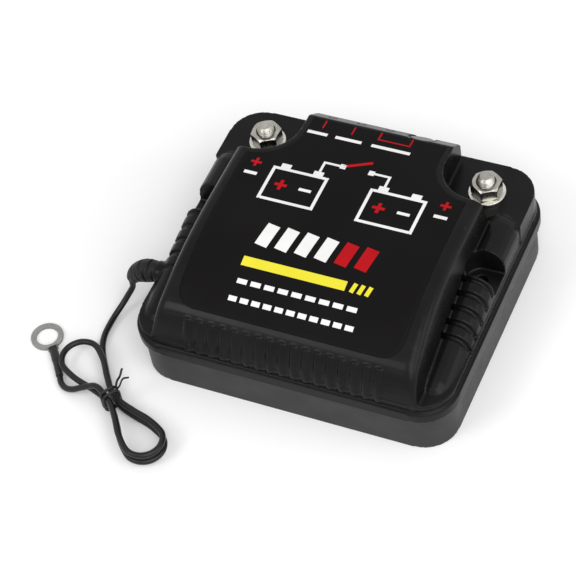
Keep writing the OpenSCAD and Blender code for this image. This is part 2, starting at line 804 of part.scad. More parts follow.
// The button slides in its guide and stands clear of the switch by its travel
collar_t = 0.8;
button_low = -wall - guide_h - collar_t - fit;
stem_d = 3.5;
module reset_button() {
    color("#242424") on_strip(button_x) {
        translate([0, 0, -wall - guide_h - fit])
            cylinder(d = button_d, h = wall + guide_h + fit + button_rise - dish_depth, $fn = fine);
        translate([0, 0, button_low]) cylinder(d = button_d + 2 * guide_wall, h = collar_t, $fn = fine);
        translate([0, 0, -strip_board_low + switch_h + button_travel + fit])
            cylinder(d = stem_d, h = button_low + strip_board_low - switch_h - button_travel, $fn = smooth);
    }
}
button_turns = 2;
module button_spring() {
    color("#a7a9ab") on_strip(button_x) translate([0, 0, -strip_board_low + fit])
        coil_spring((button_d - spring_wire) / 2, strip_board_low + button_low - 2 * fit,
            button_turns);
}

// Strain relief: a neck through the wall and a ribbed boot that curves down
boot_bend = 16;
boot_turn = 68;
boot_tip_d = 7;
boot_ribs = 8;
boot_rib = 0.7;
boot_sides = 12;
boot_collar = 3;
function boot_point(t) = [
    -case_w / 2 - boot_bend * sin(boot_turn * t), boot_y,
    boot_z - boot_bend * (1 - cos(boot_turn * t))];
function boot_taper(t) = (boot_d + (boot_tip_d - boot_d) * t) / 2;
rings_per_rib = 3;
boot_rings = rings_per_rib * boot_ribs;
function boot_r(i) = boot_taper(i / boot_rings) - (i % rings_per_rib == rings_per_rib - 1 ? boot_rib : 0);
module strain_relief() {
    color("#1c1c1c") {
        tube([for (i = [0:boot_rings]) boot_point(i / boot_rings)],
            [for (i = [0:boot_rings]) boot_r(i)], boot_sides);
        translate([-case_w / 2, boot_y, boot_z]) rotate([0, 90, 0]) {
            cylinder(d = boot_neck_d, h = gland_len + boot_collar, $fn = smooth);
            translate([0, 0, gland_len + seat])
                cylinder(d = boot_neck_d + boot_collar, h = boot_collar - seat, $fn = smooth);
        }
    }
}

// The lead's free stretch from the boot to the hank, one point per step
lead_r = lead_d / 2;
lead_sides = 8;
boot_end = boot_point(1);
boot_way = [-cos(boot_turn), 0, -sin(boot_turn)];
lead_points = [
    boot_end, boot_end + lead_d * boot_way,
    [-94.5, -31, 13], [-96.5, -33.5, 9], [-98.5, -37.5, 5.5], [-100, -42.5, 3.4], [-100.5, -48, 2.6],
    [-100.2, -53.5, 2.5], [-98.8, -59, 2.5], [-96.2, -64.2, 2.5], [-93, -69, 2.6]
];

// The hank: loops with round ends, drawn in at the waist, that climb as they go
hank_mid = [-78.5, -89.5];
hank_turn = -35;
hank_run = 30;
hank_fold = 9;
hank_waist = 2;
hank_low = 2.6;
hank_climb = 3.9;
hank_steps = 7;
hank_sides = 6;
fold_step = 30;
hank_join = -12;
hank_leave = -8;
function hank_half(u) = hank_waist
    + (hank_fold - hank_waist) * (1 - cos(180 * min(abs(u) / hank_run, 1))) / 2;
hank_run_rows = [for (t = steps(hank_steps)) hank_run * (2 * t - 1)];
function run_ahead(from_u) = [for (u = hank_run_rows) if (u > from_u) [u, hank_half(u)]];
function run_back(to_u) = [for (i = [hank_steps:-1:0]) let (u = hank_run_rows[i])
    if (u > to_u) [u, -hank_half(u)]];
function fold(side) = [for (a = [fold_step:fold_step:180 - fold_step])
    [side * (hank_run + hank_fold * sin(a)), side * hank_fold * cos(a)]];
hank_plan = concat(
    [[hank_join, hank_half(hank_join)]], run_ahead(hank_join + lead_d), fold(1),
    run_back(-hank_run - over), fold(-1), run_ahead(-hank_run - over), fold(1),
    run_back(hank_leave + lead_d), [[hank_leave, -hank_half(hank_leave)]]
);
function hank_height(i) = hank_low + 2 * hank_climb * i / (len(hank_plan) - 1);
function hank_place(u, v, z) = [
    hank_mid[0] + u * cos(hank_turn) - v * sin(hank_turn),
    hank_mid[1] + u * sin(hank_turn) + v * cos(hank_turn), z];
hank_points = [for (i = [0:len(hank_plan) - 1])
    hank_place(hank_plan[i][0], hank_plan[i][1], hank_height(i))];
lead_path = concat(lead_points, [hank_points[0]]);

// Least gap of the hank to itself, between places that are not neighbours
hank_near = 5;
hank_parts = 4;
hank_fine = [for (i = [0:len(hank_points) - 2], t = [0:hank_parts - 1])
    hank_points[i] + (hank_points[i + 1] - hank_points[i]) * t / hank_parts];
hank_gap = min([for (i = [0:len(hank_fine) - 1], j = [i + hank_near * hank_parts:1:len(hank_fine) - 1])
    norm(hank_fine[i] - hank_fine[j])]) - lead_d;
echo(hank_gap = hank_gap);

tail_points = [
    hank_points[len(hank_points) - 1],
    [-90.5, -87.3, 8.8], [-95, -88, 6.6], [-99.5, -88.6, 4.2], [-103.8, -88, 2.6], [-107.4, -85.8, 2.1]
];
sleeve_points = [[-109.8, -82.6, 2.3], [-112.2, -79.4, 2.4], [-115.8, -74.6, 2.2], [-120.5, -68.6, 1.9]];
tail_path = concat(tail_points, [sleeve_points[0]]);
module lead_cord() { color("#141414") tube(lead_path, lead_r, lead_sides); }
module lead_hank() { color("#141414") tube(hank_points, lead_r, hank_sides); }
module lead_tail() { color("#141414") tube(tail_path, lead_r, lead_sides); }

sleeve_d = 4;
sleeve_sides = 12;
module shrink_sleeve() { color("#0f0f0f") tube(sleeve_points, sleeve_d / 2, sleeve_sides); }

// Ring terminal lying flat, its barrel inside the end of the sleeve
ring_t = 1.2;
ring_at = [-127, -62.5];
barrel_end = sleeve_points[len(sleeve_points) - 1];
ring_turn = atan2(ring_at[1] - barrel_end[1], ring_at[0] - barrel_end[0]);
ring_reach = norm([ring_at[0] - barrel_end[0], ring_at[1] - barrel_end[1]]);
neck_w = 5;
module ring_terminal() {
    color("#c3c4c6") translate([barrel_end[0], barrel_end[1], 0]) rotate([0, 0, ring_turn])
        difference() {
            union() {
                translate([ring_reach, 0, 0]) cylinder(d = ring_d, h = ring_t, $fn = fine);
                translate([0, -neck_w / 2, 0]) cube([ring_reach - ring_d / 4, neck_w, ring_t]);
                translate([0, -neck_w / 2, 0]) cube([ring_t, neck_w, sleeve_d]);
            }
            translate([ring_reach, 0, -over])
                cylinder(d = ring_bore, h = ring_t + 2 * over, $fn = fine);
        }
}

// A soft tie round the waist of the hank, with its two ends twisted upwards
tie_w = 3;
tie_t = 0.8;
tie_gap = 0.3;
tie_half = hank_waist + lead_r + tie_gap;
tie_top = hank_low + 2 * hank_climb + lead_r + tie_gap;
tie_end = 12;
tie_lean = 40;
module lead_tie() {
    color("#202020") translate([hank_mid[0], hank_mid[1], 0]) rotate([0, 0, hank_turn]) {
        rotate([90, 0, 90]) translate([0, 0, -tie_w / 2]) linear_extrude(tie_w) difference() {
            translate([-tie_half - tie_t, tie_t / 2]) square([2 * (tie_half + tie_t), tie_top]);
            translate([-tie_half, tie_t / 2 + tie_t]) square([2 * tie_half, tie_top - 2 * tie_t]);
        }
        for (s = both()) translate([s * tie_w / 4, tie_half + tie_t / 2, tie_top - tie_w / 2])
            rotate([-tie_lean, s * tie_lean / 2, 0]) cylinder(d = tie_t, h = tie_end, $fn = smooth);
    }
}

base_tray();
top_cover();
tray_gasket();
label_film();
case_screws();
main_stud();
aux_stud();
main_washer();
aux_washer();
main_nut();
aux_nut();
main_busbar();
aux_busbar();
fixed_contacts();
relay_frame();
relay_core();
coil_bobbin();
coil_winding();
relay_screws();
armature();
return_spring();
contact_bridge();
bridge_clip();
circuit_board();
power_resistor();
capacitors();
control_chips();
board_screws();
indicator_board();
indicator_screws();
power_led();
charging_led();
override_led();
tact_switch();
reset_button();
button_spring();
strain_relief();
lead_cord();
lead_hank();
lead_tail();
lead_tie();
shrink_sleeve();
ring_terminal();
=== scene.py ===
"""Looks of a battery isolator relay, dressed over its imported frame."""

import json
import logging
import math
from dataclasses import dataclass
from enum import Enum

import bmesh
import bpy
import numpy as np
from mathutils import Matrix, Vector


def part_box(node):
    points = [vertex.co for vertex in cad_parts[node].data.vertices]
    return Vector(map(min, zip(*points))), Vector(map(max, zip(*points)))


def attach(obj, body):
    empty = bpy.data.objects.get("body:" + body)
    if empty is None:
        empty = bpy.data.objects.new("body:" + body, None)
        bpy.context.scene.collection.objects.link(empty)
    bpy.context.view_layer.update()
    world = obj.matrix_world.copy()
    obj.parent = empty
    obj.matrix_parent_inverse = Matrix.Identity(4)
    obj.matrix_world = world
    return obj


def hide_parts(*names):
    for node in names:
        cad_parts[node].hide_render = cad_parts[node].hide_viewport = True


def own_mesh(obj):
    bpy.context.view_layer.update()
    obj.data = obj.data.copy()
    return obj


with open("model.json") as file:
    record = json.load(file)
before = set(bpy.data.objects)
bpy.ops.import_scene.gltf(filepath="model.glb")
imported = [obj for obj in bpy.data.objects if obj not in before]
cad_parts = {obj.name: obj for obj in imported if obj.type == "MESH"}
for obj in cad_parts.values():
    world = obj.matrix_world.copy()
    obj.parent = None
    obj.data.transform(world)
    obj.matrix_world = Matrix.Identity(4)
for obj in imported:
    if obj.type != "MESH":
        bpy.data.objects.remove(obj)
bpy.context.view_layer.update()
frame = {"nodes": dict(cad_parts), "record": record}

logging.basicConfig(level=logging.INFO, format="%(message)s")
LOG = logging.getLogger("relay")

MM = 0.001
ROOT = "root"
Colour = tuple[float, float, float]
Place = tuple[float, float, float]
Span = tuple[float, float]
Surface = tuple[np.ndarray, np.ndarray]
Tree = bpy.types.NodeTree
Socket = bpy.types.NodeSocket

# How every finish is mixed: the finer octaves of its broad and its fine noise, the part
# of the broad noise that runs over the two tones and of both noises over the roughness,
# the convexity that counts as an edge, the bump's strength and the paler tone of the painted edge
# highlight
BROAD_OCTAVES, FINE_OCTAVES = 3.0, 2.0
TONE_SPAN = (0.35, 0.65)
GLOSS_SPAN = (0.7, 1.3)
EDGE_SPAN = (0.53, 0.62)
RELIEF_STRENGTH = 0.6
# Painted highlight on convex edges: the base and the gain of its paler tone
HIGHLIGHT_BASE, HIGHLIGHT_GAIN = 0.06, 3.0
WELD_REACH = 1e-6


def worked(tree: Tree, operation: str, first: Socket, second: Socket) -> Socket:
    """Adds one step of arithmetic on two values.

    Args:
        tree: the node tree.
        operation: Blender's word for the step.
        first: one value.
        second: the other value.

    Returns:
        The result's socket.
    """
    node = tree.nodes.new("ShaderNodeMath")
    node.operation = operation
    tree.links.new(first, node.inputs[0])
    tree.links.new(second, node.inputs[1])
    return node.outputs["Value"]


def ranged(tree: Tree, value: Socket, given: Span, wanted: Span = (0.0, 1.0)) -> Socket:
    """Runs a value from one span onto another, held at its ends.

    Args:
        tree: the node tree.
        value: the value that is read.
        given: the span of the value that counts.
        wanted: the span that it runs onto.

    Returns:
        The result's socket.
    """
    node = tree.nodes.new("ShaderNodeMapRange")
    for word, (low, high) in (("From", given), ("To", wanted)):
        node.inputs[f"{word} Min"].default_value = low
        node.inputs[f"{word} Max"].default_value = high
    tree.links.new(value, node.inputs["Value"])
    return node.outputs["Result"]


class Grain(Enum):
    """How the fine relief of a finish runs: the stretch of its noise on each axis."""

    MOULDED = (1.0, 1.0, 1.0)
    BRUSHED = (1.0, 1.0, 0.15)
    WOUND = (0.05, 0.05, 4.0)


@dataclass(frozen=True)
class Finish:
    """A procedural surface finish; sizes are in millimetres."""

    name: str
    colour: Colour
    tint: Colour
    roughness: Span = (0.4, 0.5)
    metallic: float = 0.0
    specular: float = 0.5
    grain: Grain = Grain.MOULDED
    grain_mm: float = 0.5
    depth_mm: float = 0.02
    mottle_mm: float = 14.0
    edge_mm: float = 0.0
    # Strength of the painted highlight on the most convex edges
    edge_highlight: float = 0.0
    coat: float = 0.0

    def build(self) -> bpy.types.Material:
        """Makes the material once and returns it.

        A broad and a fine noise mix the colour and the roughness, the fine one lifts the
        surface, edges are rounded in the shading where edge_mm is given, and a painted
        highlight lightens them where the mesh is most convex and edge_highlight is given.

        Returns:
            The Blender material of this finish.
        """
        found = bpy.data.materials.get(self.name)
        if found is not None:
            return found
        made = bpy.data.materials.new(self.name)
        made.use_nodes = True
        tree = made.node_tree
        nodes, links = tree.nodes, tree.links
        shader = nodes["Principled BSDF"]
        shader.inputs["Metallic"].default_value = self.metallic
        shader.inputs["Specular IOR Level"].default_value = self.specular
        shader.inputs["Coat Weight"].default_value = self.coat
        place = nodes.new("ShaderNodeTexCoord")
        turn = nodes.new("ShaderNodeMapping")
        turn.inputs["Scale"].default_value = self.grain.value
        links.new(place.outputs["Object"], turn.inputs["Vector"])
        mottle = self._noise(tree, place.outputs["Object"], self.mottle_mm, BROAD_OCTAVES)
        fine = self._noise(tree, turn.outputs["Vector"], self.grain_mm, FINE_OCTAVES)
        gloss = ranged(tree, worked(tree, "ADD", mottle, fine), GLOSS_SPAN, self.roughness)
        links.new(self._tone(tree, mottle, fine), shader.inputs["Base Color"])
        links.new(gloss, shader.inputs["Roughness"])
        bump = nodes.new("ShaderNodeBump")
        bump.inputs["Strength"].default_value = RELIEF_STRENGTH
        bump.inputs["Distance"].default_value = self.depth_mm * MM
        links.new(fine, bump.inputs["Height"])
        if self.edge_mm > 0:
            bevel = nodes.new("ShaderNodeBevel")
            bevel.inputs["Radius"].default_value = self.edge_mm * MM
            links.new(bevel.outputs["Normal"], bump.inputs["Normal"])
        links.new(bump.outputs["Normal"], shader.inputs["Normal"])
        return made

    def _noise(self, tree: Tree, where: Socket, size_mm: float, detail: float) -> Socket:
        """Adds a noise whose blobs are about size_mm across.

        Args:
            tree: the material's node tree.
            where: the coordinates that the noise reads.
            size_mm: width of one blob.
            detail: number of finer octaves.

        Returns:
            The noise's value socket.
        """
        noise = tree.nodes.new("ShaderNodeTexNoise")
        noise.inputs["Scale"].default_value = 1 / (size_mm * MM)
        noise.inputs["Detail"].default_value = detail
        tree.links.new(where, noise.inputs["Vector"])
        return noise.outputs["Fac"]

    def _tone(self, tree: Tree, mottle: Socket, fine: Socket) -> Socket:
        """Mixes the two colours by the broad noise and paints a highlight on convex edges.

        Args:
            tree: the material's node tree.
            mottle: the broad noise.
            fine: the fine noise.

        Returns:
            The colour socket.
        """
        mix = tree.nodes.new("ShaderNodeMix")
        mix.data_type = "RGBA"
        mix.inputs["A"].default_value = (*self.colour, 1)
        mix.inputs["B"].default_value = (*self.tint, 1)
        tree.links.new(ranged(tree, mottle, TONE_SPAN), mix.inputs["Factor"])
        if self.edge_highlight <= 0:
            return mix.outputs["Result"]
        # Painted highlight: the most convex edges are mixed towards a paler tone
        shape = tree.nodes.new("ShaderNodeNewGeometry")
        edge = ranged(tree, shape.outputs["Pointiness"], EDGE_SPAN, (0.0, self.edge_highlight))
        pale = (min(1.0, HIGHLIGHT_BASE + HIGHLIGHT_GAIN * part) for part in self.tint)
        painted_highlight = tree.nodes.new("ShaderNodeMix")
        painted_highlight.data_type = "RGBA"
        painted_highlight.inputs["B"].default_value = (*pale, 1)
        tree.links.new(worked(tree, "MULTIPLY", edge, fine), painted_highlight.inputs["Factor"])
        tree.links.new(mix.outputs["Result"], painted_highlight.inputs["A"])
        return painted_highlight.outputs["Result"]


TRAY_PLASTIC = Finish(
    "tray_textured_plastic", (0.030, 0.030, 0.030), (0.024, 0.024, 0.025), (0.42, 0.56),
    specular=0.26, grain_mm=0.7, depth_mm=0.05, edge_highlight=0.25,
)
COVER_PLASTIC = Finish(
    "cover_satin_plastic", (0.0040, 0.0040, 0.0042), (0.0060, 0.0060, 0.0060), (0.24, 0.34),
    specular=0.13, grain_mm=0.6, depth_mm=0.035, edge_highlight=0.2,
)
LABEL_FILM = Finish(
    "label_matte_film", (0.0075, 0.0068, 0.0072), (0.0090, 0.0082, 0.0086), (0.42, 0.50),
    specular=0.03, grain_mm=0.35, depth_mm=0.008, mottle_mm=40,
)
PRINT_WHITE = Finish(
    "print_white", (0.82, 0.82, 0.81), (0.76, 0.76, 0.75), (0.45, 0.55),
    specular=0.1, grain_mm=0.3, depth_mm=0.004,
)
PRINT_RED = Finish(
    "print_red", (0.46, 0.005, 0.010), (0.40, 0.004, 0.008), (0.45, 0.55),
    specular=0.1, grain_mm=0.3, depth_mm=0.004,
)
PRINT_YELLOW = Finish(
    "print_yellow", (0.80, 0.72, 0.05), (0.75, 0.67, 0.04), (0.45, 0.55),
    specular=0.1, grain_mm=0.3, depth_mm=0.004,
)
GASKET_RUBBER = Finish(
    "gasket_soft_rubber", (0.008, 0.008, 0.008), (0.012, 0.012, 0.012), (0.7, 0.85),
    specular=0.2,
)
ZINC = Finish(
    "zinc_plated_steel", (0.30, 0.29, 0.26), (0.42, 0.41, 0.37), (0.28, 0.44), metallic=1.0,
    grain=Grain.BRUSHED, grain_mm=0.35, depth_mm=0.012, mottle_mm=5, edge_highlight=0.2,
)
NICKEL = Finish(
    "nickel_plated_steel", (0.40, 0.39, 0.35), (0.32, 0.31, 0.28), (0.18, 0.32), metallic=1.0,
    grain=Grain.BRUSHED, grain_mm=0.5, depth_mm=0.01, mottle_mm=4, edge_highlight=0.2,
)
BRIGHT_ZINC = Finish(
    "bright_zinc_washer", (0.66, 0.65, 0.60), (0.54, 0.53, 0.49), (0.20, 0.34), metallic=1.0,
    grain=Grain.BRUSHED, grain_mm=0.5, depth_mm=0.01, mottle_mm=4,
)
TINNED = Finish(
    "tinned_lug_metal", (0.33, 0.33, 0.32), (0.26, 0.26, 0.25), (0.42, 0.56), metallic=1.0,
    grain=Grain.BRUSHED, grain_mm=0.4, depth_mm=0.015, mottle_mm=3, edge_mm=0.25,
)
COPPER = Finish(
    "rolled_copper", (0.66, 0.30, 0.15), (0.52, 0.22, 0.10), (0.25, 0.4), metallic=1.0,
    mottle_mm=6, edge_mm=0.3,
)
SILVER = Finish(
    "silver_contact_face", (0.80, 0.79, 0.76), (0.7, 0.69, 0.66), (0.2, 0.35), metallic=1.0,
    mottle_mm=2, edge_mm=0.2,
)
PLAIN_STEEL = Finish(
    "plain_pressed_steel", (0.42, 0.42, 0.43), (0.34, 0.34, 0.35), (0.3, 0.45), metallic=1.0,
    grain=Grain.BRUSHED, mottle_mm=5, edge_mm=0.3,
)
NYLON = Finish(
    "natural_nylon", (0.72, 0.68, 0.55), (0.66, 0.61, 0.48), mottle_mm=8, edge_mm=0.3,
)
ENAMEL = Finish(
    "enamelled_wire", (0.42, 0.13, 0.03), (0.30, 0.08, 0.02), (0.2, 0.3), metallic=0.8,
    grain=Grain.WOUND, grain_mm=2.0, depth_mm=0.2, mottle_mm=3,
)
BOARD = Finish(
    "green_circuit_board", (0.012, 0.10, 0.035), (0.02, 0.13, 0.05), (0.28, 0.4),
    mottle_mm=3, grain_mm=0.8,
)
EPOXY = Finish(
    "black_epoxy", (0.012, 0.012, 0.013), (0.02, 0.02, 0.02), (0.45, 0.6),
    mottle_mm=2, edge_mm=0.15,
)
CAN_SLEEVE = Finish(
    "capacitor_can_sleeve", (0.012, 0.02, 0.05), (0.02, 0.03, 0.07), (0.2, 0.3), edge_mm=0.4,
)
CERAMIC = Finish(
    "fired_ceramic", (0.70, 0.70, 0.66), (0.62, 0.62, 0.58), (0.6, 0.75),
    mottle_mm=2, edge_mm=0.3,
)
LAMP_GREEN = Finish(
    "smoked_green_lens", (0.05, 0.085, 0.06), (0.06, 0.1, 0.07), (0.12, 0.2), coat=0.4,
)
LAMP_AMBER = Finish(
    "smoked_amber_lens", (0.11, 0.09, 0.05), (0.12, 0.1, 0.06), (0.12, 0.2), coat=0.4,
)
LAMP_RED = Finish(
    "smoked_red_lens", (0.10, 0.045, 0.04), (0.12, 0.05, 0.045), (0.12, 0.2), coat=0.4,
)
SWITCH_PLASTIC = Finish(
    "switch_dull_plastic", (0.02, 0.02, 0.021), (0.03, 0.03, 0.03), (0.35, 0.5), edge_mm=0.2,
)
BUTTON_PLASTIC = Finish(
    "button_satin_plastic", (0.014, 0.014, 0.014), (0.02, 0.02, 0.02), (0.28, 0.4),
    specular=0.4, grain_mm=0.4, depth_mm=0.015, edge_mm=0.5,
)
BOOT_RUBBER = Finish(
    "boot_soft_rubber", (0.0065, 0.0065, 0.0065), (0.0095, 0.0095, 0.0095), (0.40, 0.52),
    specular=0.2, grain_mm=0.35, depth_mm=0.02,
)
JACKET = Finish(
    "lead_vinyl_jacket", (0.004, 0.004, 0.004), (0.006, 0.006, 0.006), (0.28, 0.38),
    specular=0.3, grain_mm=0.5, depth_mm=0.012, mottle_mm=6,
)
SHRINK = Finish(
    "shrunk_sleeve", (0.009, 0.009, 0.009), (0.015, 0.015, 0.015), (0.34, 0.5),
    specular=0.3, grain_mm=0.8, depth_mm=0.05, mottle_mm=4,
)

NODE_FINISHES: dict[str, Finish] = {
    "tray_gasket": GASKET_RUBBER,
    "case_screws": ZINC,
    "main_busbar": COPPER,
    "aux_busbar": COPPER,
    "fixed_contacts": SILVER,
    "relay_frame": PLAIN_STEEL,
    "relay_core": PLAIN_STEEL,
    "coil_bobbin": NYLON,
    "coil_winding": ENAMEL,
    "relay_screws": ZINC,
    "armature": PLAIN_STEEL,
    "contact_bridge": COPPER,
    "bridge_clip": PLAIN_STEEL,
    "circuit_board": BOARD,
    "power_resistor": CERAMIC,
    "capacitors": CAN_SLEEVE,
    "control_chips": EPOXY,
    "board_screws": ZINC,
    "indicator_board": BOARD,
    "indicator_screws": ZINC,
    "power_led": LAMP_GREEN,
    "charging_led": LAMP_AMBER,
    "override_led": LAMP_RED,
    "tact_switch": SWITCH_PLASTIC,
    "reset_button": BUTTON_PLASTIC,
    "ring_terminal": TINNED,
}


def dress(piece: bpy.types.Object, finish: Finish) -> None:
    """Gives a piece one finish in its first material slot.

    Args:
        piece: the object to dress.
        finish: the finish it gets.
    """
    if piece.material_slots:
        piece.material_slots[0].material = finish.build()
    else:
        piece.data.materials.append(finish.build())


def shade(piece: bpy.types.Object, smooth: bool) -> None:
    """Shades every face of a piece smooth or flat."""
    faces = piece.data.polygons
    faces.foreach_set("use_smooth", np.full(len(faces), smooth))


def put_mesh(
    name: str, points: np.ndarray, faces: np.ndarray, finish: Finish
) -> bpy.types.Object:
    """Makes a smooth mesh object from an array of points and one of faces.

    Args:
        name: the piece's name.
        points: n by 3 places in metres.
        faces: m by 3 or m by 4 indices.
        finish: the surface finish.

    Returns:
        The new object, at the origin.
    """
    mesh = bpy.data.meshes.new(name)
    mesh.from_pydata(points.tolist(), [], faces.tolist())
    mesh.update()
    piece = bpy.data.objects.new(name, mesh)
    bpy.context.scene.collection.objects.link(piece)
    shade(piece, True)
    dress(piece, finish)
    return piece


def grid_faces(rows: int, columns: int, close_columns: bool = False) -> np.ndarray:
    """Quads over a grid of rows by columns, numbered row by row.

    Args:
        rows: number of rows of points.
        columns: number of points in a row.
        close_columns: whether the last column joins the first.

    Returns:
        An array of four indices per face.
    """
    across = columns if close_columns else columns - 1
    r, c = np.meshgrid(np.arange(rows - 1), np.arange(across), indexing="ij")
    n = (c + 1) % columns
    here, ahead = r * columns, (r + 1) * columns
    return np.stack([here + c, here + n, ahead + n, ahead + c], -1).reshape(-1, 4)


def join_shapes(shapes: list[Surface]) -> Surface:
    """Joins several point and quad arrays into one pair.

    Args:
        shapes: pairs of points and faces.

    Returns:
        All points and all faces, renumbered.
    """
    starts = np.cumsum([0] + [len(points) for points, _ in shapes[:-1]])
    points = np.concatenate([points for points, _ in shapes])
    faces = np.concatenate([faces + start for (_, faces), start in zip(shapes, starts)])
    return points, faces


def full_turn(count: int) -> np.ndarray:
    """Even angles round a full turn, the first at zero."""
    return np.linspace(0, 2 * math.pi, count, endpoint=False)


def about_axis(radius: np.ndarray, angle: np.ndarray, z: np.ndarray) -> np.ndarray:
    """Places (r cos a, r sin a, z) for arrays that fit each other's shapes."""
    r, a, h = np.broadcast_arrays(radius, angle, z)
    return np.stack([r * np.cos(a), r * np.sin(a), h], -1)


def lathe(profile: np.ndarray, around: int) -> Surface:
    """Turns a closed profile about the vertical axis.

    Each row of the grid is the profile at one angle: (r cos a, r sin a, z).

    Args:
        profile: n by 2 radii and heights, anticlockwise when r runs to the right.
        around: number of angles.

    Returns:
        Points and quads of a closed ring-shaped surface.
    """
    places = about_axis(profile[None, :, 0], full_turn(around)[:, None], profile[None, :, 1])
    quads = grid_faces(around + 1, len(profile), close_columns=True)
    return places.reshape(-1, 3), quads % places[..., 0].size


def capped(rings: np.ndarray, low: float, high: float) -> Surface:
    """Closes a stack of rings in a pole on the axis at each end.

    Args:
        rings: rows by angles by 3 places.
        low: height of the first pole.
        high: height of the last pole.

    Returns:
        Points and quads.
    """
    poles = np.zeros((2, *rings.shape[1:]))
    poles[:, :, 2] = np.array([[low], [high]])
    stack = np.concatenate([poles[:1], rings, poles[1:]])
    return stack.reshape(-1, 3), grid_faces(len(stack), rings.shape[1], close_columns=True)


def smooth_path(points: np.ndarray, parts: int) -> np.ndarray:
    """A Catmull-Rom curve through the given points.

    Between points b and c with neighbours a and d the place at t is half of
    2b + (c - a) t + (2a - 5b + 4c - d) t^2 + (3b - a - 3c + d) t^3.

    Args:
        points: n by 3 places.
        parts: steps between two points.

    Returns:
        The places along the curve, ends included.
    """
    ends = np.concatenate([[2 * points[0] - points[1]], points, [2 * points[-1] - points[-2]]])
    a, b, c, d = ends[:-3, None], ends[1:-2, None], ends[2:-1, None], ends[3:, None]
    t = np.linspace(0, 1, parts, endpoint=False)[None, :, None]
    square, cube = 2 * a - 5 * b + 4 * c - d, 3 * b - a - 3 * c + d
    curve = (2 * b + (c - a) * t + square * t**2 + cube * t**3) / 2
    return np.concatenate([curve.reshape(-1, 3), points[-1:]])


def even_path(points: np.ndarray, step: float) -> np.ndarray:
    """Places at even steps along a polyline.

    Args:
        points: n by 3 places.
        step: wanted distance between places.

    Returns:
        The evenly spaced places, ends included.
    """
    run = np.concatenate([[0], np.cumsum(np.linalg.norm(np.diff(points, axis=0), axis=1))])
    count = max(2, round(run[-1] / step) + 1)
    at = np.linspace(0, run[-1], count)
    return np.stack([np.interp(at, run, points[:, k]) for k in range(3)], -1)


def carried_frames(path: np.ndarray) -> tuple[np.ndarray, np.ndarray, np.ndarray]:
    """Directions along a path and two sides that never twist.

    Each side is the one before it, made square to the new direction.

    Args:
        path: n by 3 places.

    Returns:
        Directions, first sides and second sides, each n by 3.
    """
    way = np.gradient(path, axis=0)
    way /= np.linalg.norm(way, axis=1, keepdims=True)
    sides = np.zeros_like(way)
    start = np.cross((0, 0, 1) if abs(way[0, 2]) < 0.9 else (1, 0, 0), way[0])
    sides[0] = start / np.linalg.norm(start)
    for i in range(1, len(path)):
        turned = sides[i - 1] - way[i] * np.dot(sides[i - 1], way[i])
        sides[i] = turned / np.linalg.norm(turned)
    return way, sides, np.cross(way, sides)


def sweep(path: np.ndarray, radius: np.ndarray, around: int, wide: float = 1.0) -> Surface:
    """A closed tube along a path with a radius for every place and angle.

    A point is the path's place plus r (wide cos a side + sin a up), and each end
    closes in a ring of points drawn together at the path's own end.

    Args:
        path: n by 3 places.
        radius: n by 1 or n by around radii.
        around: number of angles.
        wide: stretch along the first side.

    Returns:
        Points and quads.
    """
    _, side, up = carried_frames(path)
    angle = full_turn(around)[None, :, None]
    ring = wide * np.cos(angle) * side[:, None] + np.sin(angle) * up[:, None]
    body = path[:, None] + np.broadcast_to(radius, (len(path), around))[:, :, None] * ring
    first, last = (np.broadcast_to(end[:, None], body[:1].shape) for end in (path[:1], path[-1:]))
    body = np.concatenate([first, body, last])
    return body.reshape(-1, 3), grid_faces(len(body), around, close_columns=True)


def welded(piece: bpy.types.Object, reach: float = WELD_REACH) -> bpy.types.Object:
    """Merges doubled points and turns the faces outwards.

    Args:
        piece: the object whose mesh is tidied.
        reach: distance in metres under which points merge, or 0 to merge none.

    Returns:
        The same object.
    """
    work = bmesh.new()
    work.from_mesh(piece.data)
    if reach > 0:
        bmesh.ops.remove_doubles(work, verts=work.verts, dist=reach)
    bmesh.ops.recalc_face_normals(work, faces=work.faces)
    work.to_mesh(piece.data)
    work.free()
    piece.data.update()
    return piece


@dataclass(frozen=True)
class SoftLamp:
    """A square soft lamp that looks at the object: lengths in metres, power in watts."""

    name: str
    towards: Place
    far: float
    size: float
    power: float

    def hang(self) -> None:
        """Hangs the lamp on its line from the object, facing back along it."""
        data = bpy.data.lights.new(self.name, "AREA")
        data.size = self.size
        data.energy = self.power
        lamp = bpy.data.objects.new(self.name, data)
        way = Vector(self.towards).normalized()
        lamp.location = way * self.far
        lamp.rotation_euler = way.to_track_quat("Z", "Y").to_euler()
        bpy.context.scene.collection.objects.link(lamp)


LAMPS = (
    SoftLamp("front_softbox", (0.50, -0.42, 0.76), far=2.6, size=2.1, power=38.0),
    SoftLamp("rib_sheen", (-0.40, -0.60, 0.70), far=1.6, size=0.55, power=4.5),
    SoftLamp("right_fill", (0.92, 0.05, 0.38), far=1.3, size=0.7, power=3.0),
)


